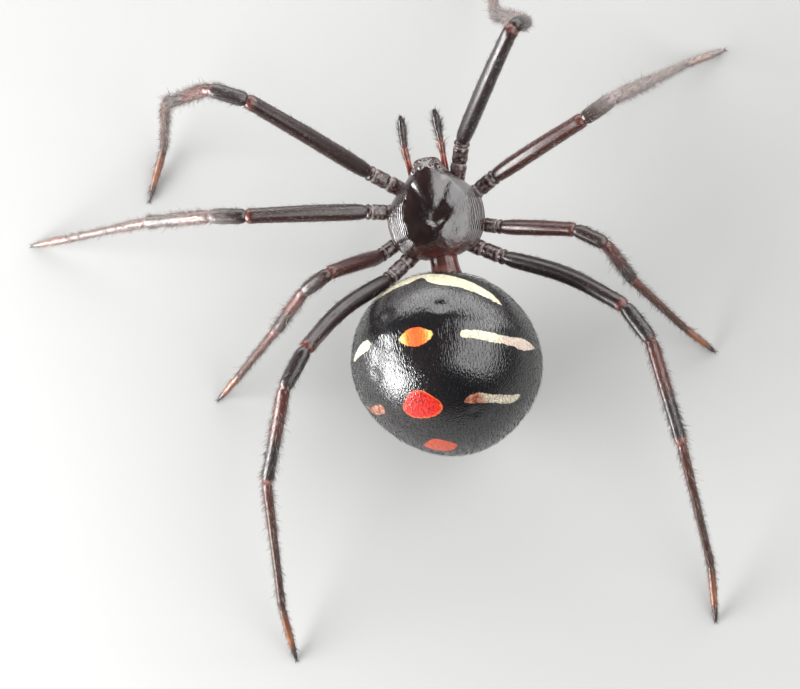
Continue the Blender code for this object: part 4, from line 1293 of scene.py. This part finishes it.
band = stripe_mask(BASAL_BAND)
front_stripe = stripe_mask(FRONT_STRIPE)
rear_stripe = stripe_mask(REAR_STRIPE)
colour = blend(marks, fade(marks, speckle(marks, 700.0, 4.0), 0.35, 0.75), ABDOMEN_BLACK, ABDOMEN_CLOUD)
colour = blend(marks, band, colour, cream)
colour = blend(marks, front_stripe, colour, blend(marks, fade(marks, x, 0.74, 0.90), cream, pinkish))
colour = blend(marks, rear_stripe, colour, blend(marks, fade(marks, x, 0.50, 0.60), brown, streaked))

front_mask = fade(marks, spot_depth(degrees, *SPOT_FRONT), -0.06, 0.12)
glow = maths(marks, "DIVIDE", maths(marks, "SUBTRACT", x, SPOT_FRONT[0]), SPOT_FRONT[2])
wander = maths(marks, "MULTIPLY", maths(marks, "SUBTRACT", streaks, 0.5), 0.9)
glow = maths(marks, "ADD", maths(marks, "ABSOLUTE", glow), wander)
colour = blend(marks, front_mask, colour, ramp(marks, glow, SPOT_GLOW))
middle_spot = spot_depth(degrees, *SPOT_MIDDLE)
middle_mask = fade(marks, middle_spot, -0.06, 0.10)
red = blend(marks, maths(marks, "MULTIPLY", grains, 0.85), MARK_RED, RED_GRAIN)
red = blend(marks, fade(marks, middle_spot, 0.0, 0.28, 0.55, 0.0), red, MARK_ORANGE)
colour = blend(marks, middle_mask, colour, red)
rear_mask = fade(marks, spot_depth(degrees, *SPOT_REAR), -0.06, 0.10)
colour = blend(marks, rear_mask, colour, blend(marks, 0.60, red, DEEP_RED))
below = fade(marks, z, -0.35, -0.5)
halves = [fade(marks, spot_depth(y, *half), -0.08, 0.10) for half in HOURGLASS]
hourglass = maths(marks, "MULTIPLY", maths(marks, "MAXIMUM", *halves), below)
colour = blend(marks, hourglass, colour, red)
marked = band
for mask in (front_stripe, rear_stripe, front_mask, middle_mask, rear_mask, hourglass):
    marked = maths(marks, "MAXIMUM", marked, mask)
add_node(marks, "NodeGroupOutput", {0: colour, 1: marked})

sac, rows = add_ball("abdomen_skin", *ABDOMEN_MESH)
places = [vert.co.y for vert in sac.data.vertices]
bpy.ops.object.mode_set(mode="EDIT")
bpy.ops.mesh.select_mode(type="VERT")
for row in rows:
    along = places[row[0]]
    pick(sac, row)
    if along < 0:
        taper = 1 - REAR_TAPER * along ** 2
        bpy.ops.transform.resize(value=(taper, 1, taper), center_override=(0, along, 0))
    bpy.ops.transform.translate(value=(0, 0, 2 * FRONT_LIFT * along / ABDOMEN_SIZE[2]))
bpy.ops.mesh.select_all(action="SELECT")
bpy.ops.transform.resize(value=[0.5 * size for size in ABDOMEN_SIZE], center_override=(0, 0, 0))
bpy.ops.object.mode_set(mode="OBJECT")
for across, degrees_here, depth, reach in ABDOMEN_DENTS:
    for side in (-1, 1):
        place = abdomen_point(on_abdomen(side * across, degrees_here))
        press(sac, place, -depth * place.normalized(), reach)
settle(sac, ABDOMEN_STAND)
refine(sac, 0)
satin, tree, shader = new_material("abdomen_satin", IOR=1.36, Coat_Weight=0.9, Coat_Roughness=0.14)
marked = add_node(tree, "ShaderNodeGroup", node_tree=marks)
coordinates = add_node(tree, "ShaderNodeTexCoord").outputs["Object"]
along_body = add_node(tree, "ShaderNodeMapping", {
    "Vector": coordinates, "Location": placed(ABDOMEN_CENTRE), "Rotation": abdomen_turned.to_euler(),
    "Scale": [size * MM for size in LEATHER_GRAIN],
}, vector_type="TEXTURE").outputs[0]
bump = relief(tree, speckle(tree, 1500.0), WRINKLE_DEPTH)
bump = relief(tree, speckle(tree, 1.0, 1.0, along_body), LEATHER_DEPTH, bump)
rough = maths(tree, "MULTIPLY", marked.outputs["Marked"], 0.15)
rough = maths(tree, "ADD", uneven(tree, 3000.0, 0.15, 0.22), rough)
feed(tree, shader, Base_Color=marked.outputs["Color"], Roughness=rough, Normal=bump, Coat_Normal=bump)
finish_piece(sac, satin, "abdomen_black", "abdomen")

# Its coat: fine hairs that lie back along the body, in four pieces. Length and radius are in mm,
# and they stand off the skin by degrees. The shift and the spread make them uneven
ABDOMEN_HAIRS = 7600
ABDOMEN_COATS = 4
ABDOMEN_HAIR = {"length": 0.20, "radius": 0.0045, "stand": 22.0, "shift": 0.006, "spread": 0.16}
TIP_STAND = 0.25
draw = np.random.default_rng(HAIR_SEED + 60)
number = np.arange(ABDOMEN_HAIRS) + 0.5
height = 1 - 2 * number / ABDOMEN_HAIRS
turn = math.pi * (1 + 5 ** 0.5) * number
level = np.sqrt(1 - height ** 2)
ball = np.stack((level * np.cos(turn), height, level * np.sin(turn)), 1)
ball = unit(ball + draw.normal(0, ABDOMEN_HAIR["shift"], ball.shape))
roots = abdomen_rows(ball)
sideways = unit(np.cross(ball, (0.3, 1.0, 0.2)))
slopes = [abdomen_rows(unit(ball + 0.001 * way)) - roots for way in (sideways, np.cross(ball, sideways))]
out = unit(np.cross(*slopes))
out *= np.sign((out * ball).sum(1))[:, None]
back = np.array((0.0, -1.0, 0.0)) + draw.normal(0, ABDOMEN_HAIR["spread"], ball.shape)
lie = unit(back - out * (back * out).sum(1)[:, None])
lift = np.radians(ABDOMEN_HAIR["stand"] * draw.uniform(0.5, 1.5, ABDOMEN_HAIRS))[:, None]
to_world = np.array(abdomen_turned)
starts = unit(lie * np.cos(lift) + out * np.sin(lift)) @ to_world.T
ends = unit(lie * np.cos(TIP_STAND * lift) + out * np.sin(TIP_STAND * lift)) @ to_world.T
roots = (roots @ to_world.T) * MM + np.array(placed(ABDOMEN_CENTRE))
lengths = ABDOMEN_HAIR["length"] * MM * draw.uniform(0.7, 1.25, ABDOMEN_HAIRS)
thick = ABDOMEN_HAIR["radius"] * MM * draw.uniform(0.8, 1.2, ABDOMEN_HAIRS)
round_body = np.arctan2(ball[:, 0], ball[:, 2]) / (2 * math.pi) + 0.5
unwrap = np.stack((round_body, np.arccos(ball[:, 1]) / math.pi), 1)
abdomen_fur, tree, shader = new_material("abdomen_fur", IOR=1.35)
marked = add_node(tree, "ShaderNodeGroup", node_tree=marks)
tint = blend(tree, 0.35, marked.outputs["Color"], FUR_BLACK)
feed(tree, shader, Base_Color=tint, Roughness=uneven(tree, 9000.0, 0.16, 0.28))
for part in range(ABDOMEN_COATS):
    chosen = slice(part, None, ABDOMEN_COATS)
    rows = (row[chosen] for row in (roots, starts, ends, lengths, thick, unwrap))
    finish_piece(plant_hair("abdomen_hair_%d" % (part + 1), *rows), abdomen_fur, "abdomen_black")

# Spinnerets.
# Three pairs of short, blunt, jointed cones stand close together under the rear end, the front pair
# stoutest, on a low mound with a small tubercle behind. They are brown and glossy.
SPINNERET_AIM = (0.0, -0.66, -0.75)
# Each pair: its place across and along, its radius and length (mm), and its splay (degrees)
SPINNERETS = (
    ((0.15, 0.13), 0.105, 0.34, 14.0), ((0.055, -0.02), 0.055, 0.20, 4.0),
    ((0.14, -0.16), 0.085, 0.32, 16.0),
)
SPINNERET_PROFILE = (
    (0.0, 0.9), (0.12, 1.0), (0.55, 0.92), (0.62, 0.78), (0.68, 0.74), (0.92, 0.55), (1.0, 0.25),
)
SPINNERET_STEPS = 16
SPINNERET_SIDES = 14
# The mound and the tubercle: where they begin, their height and radius (mm), and how far their
# roundness has closed at the top
MOUND = ((0.0, 0.0, -0.06), 0.18, 0.34, 0.96)
TUBERCLE = ((0.0, -0.26, 0.02), 0.14, 0.08, 0.95)
DOME_STEPS = 8
MOUND_SIDES = 28


def draw_dome(foot, height, radius, closed, sides):
    """A low round dome that stands on its foot."""
    line = [Vector(foot) + Vector((0, 0, height * share)) for share in evenly(DOME_STEPS)]
    radii = [radius * math.sqrt(1 - (closed * share) ** 2) for share in evenly(DOME_STEPS)]
    return draw_out("dome", line, radii, sides)


aim = Vector(SPINNERET_AIM).normalized()
seat = abdomen_point(aim)
sideways = aim.orthogonal().normalized()
slopes = [abdomen_point((aim + 0.001 * way).normalized()) - seat for way in (sideways, aim.cross(sideways))]
facing = slopes[0].cross(slopes[1]).normalized()
rearward = (Vector((0, -1, 0)) - facing * facing.dot(Vector((0, -1, 0)))).normalized()
axes = Matrix((facing.cross(rearward), -rearward, facing)).transposed()
spinneret_stand = ABDOMEN_STAND @ Matrix.Translation(seat) @ axes.to_4x4()
cones = [draw_dome(*MOUND, MOUND_SIDES)]
for (across, along), radius, length, splay in SPINNERETS:
    radii = [radius * flowing(SPINNERET_PROFILE, share) for share in evenly(SPINNERET_STEPS)]
    for side in (-1, 1):
        tilt = Vector((side * math.sin(math.radians(splay)), 0, math.cos(math.radians(splay))))
        foot = Vector((side * across, along, 0.03))
        line = [foot + tilt * length * share for share in evenly(SPINNERET_STEPS)]
        cones.append(draw_out("cone", line, radii, SPINNERET_SIDES))
cones.append(draw_dome(*TUBERCLE, SPINNERET_SIDES))
cluster = join(cones, "spinneret_cluster")
settle(cluster, spinneret_stand)
refine(cluster, 1)
finish_piece(cluster, mouth_shell, "shell_brown", "spinnerets")
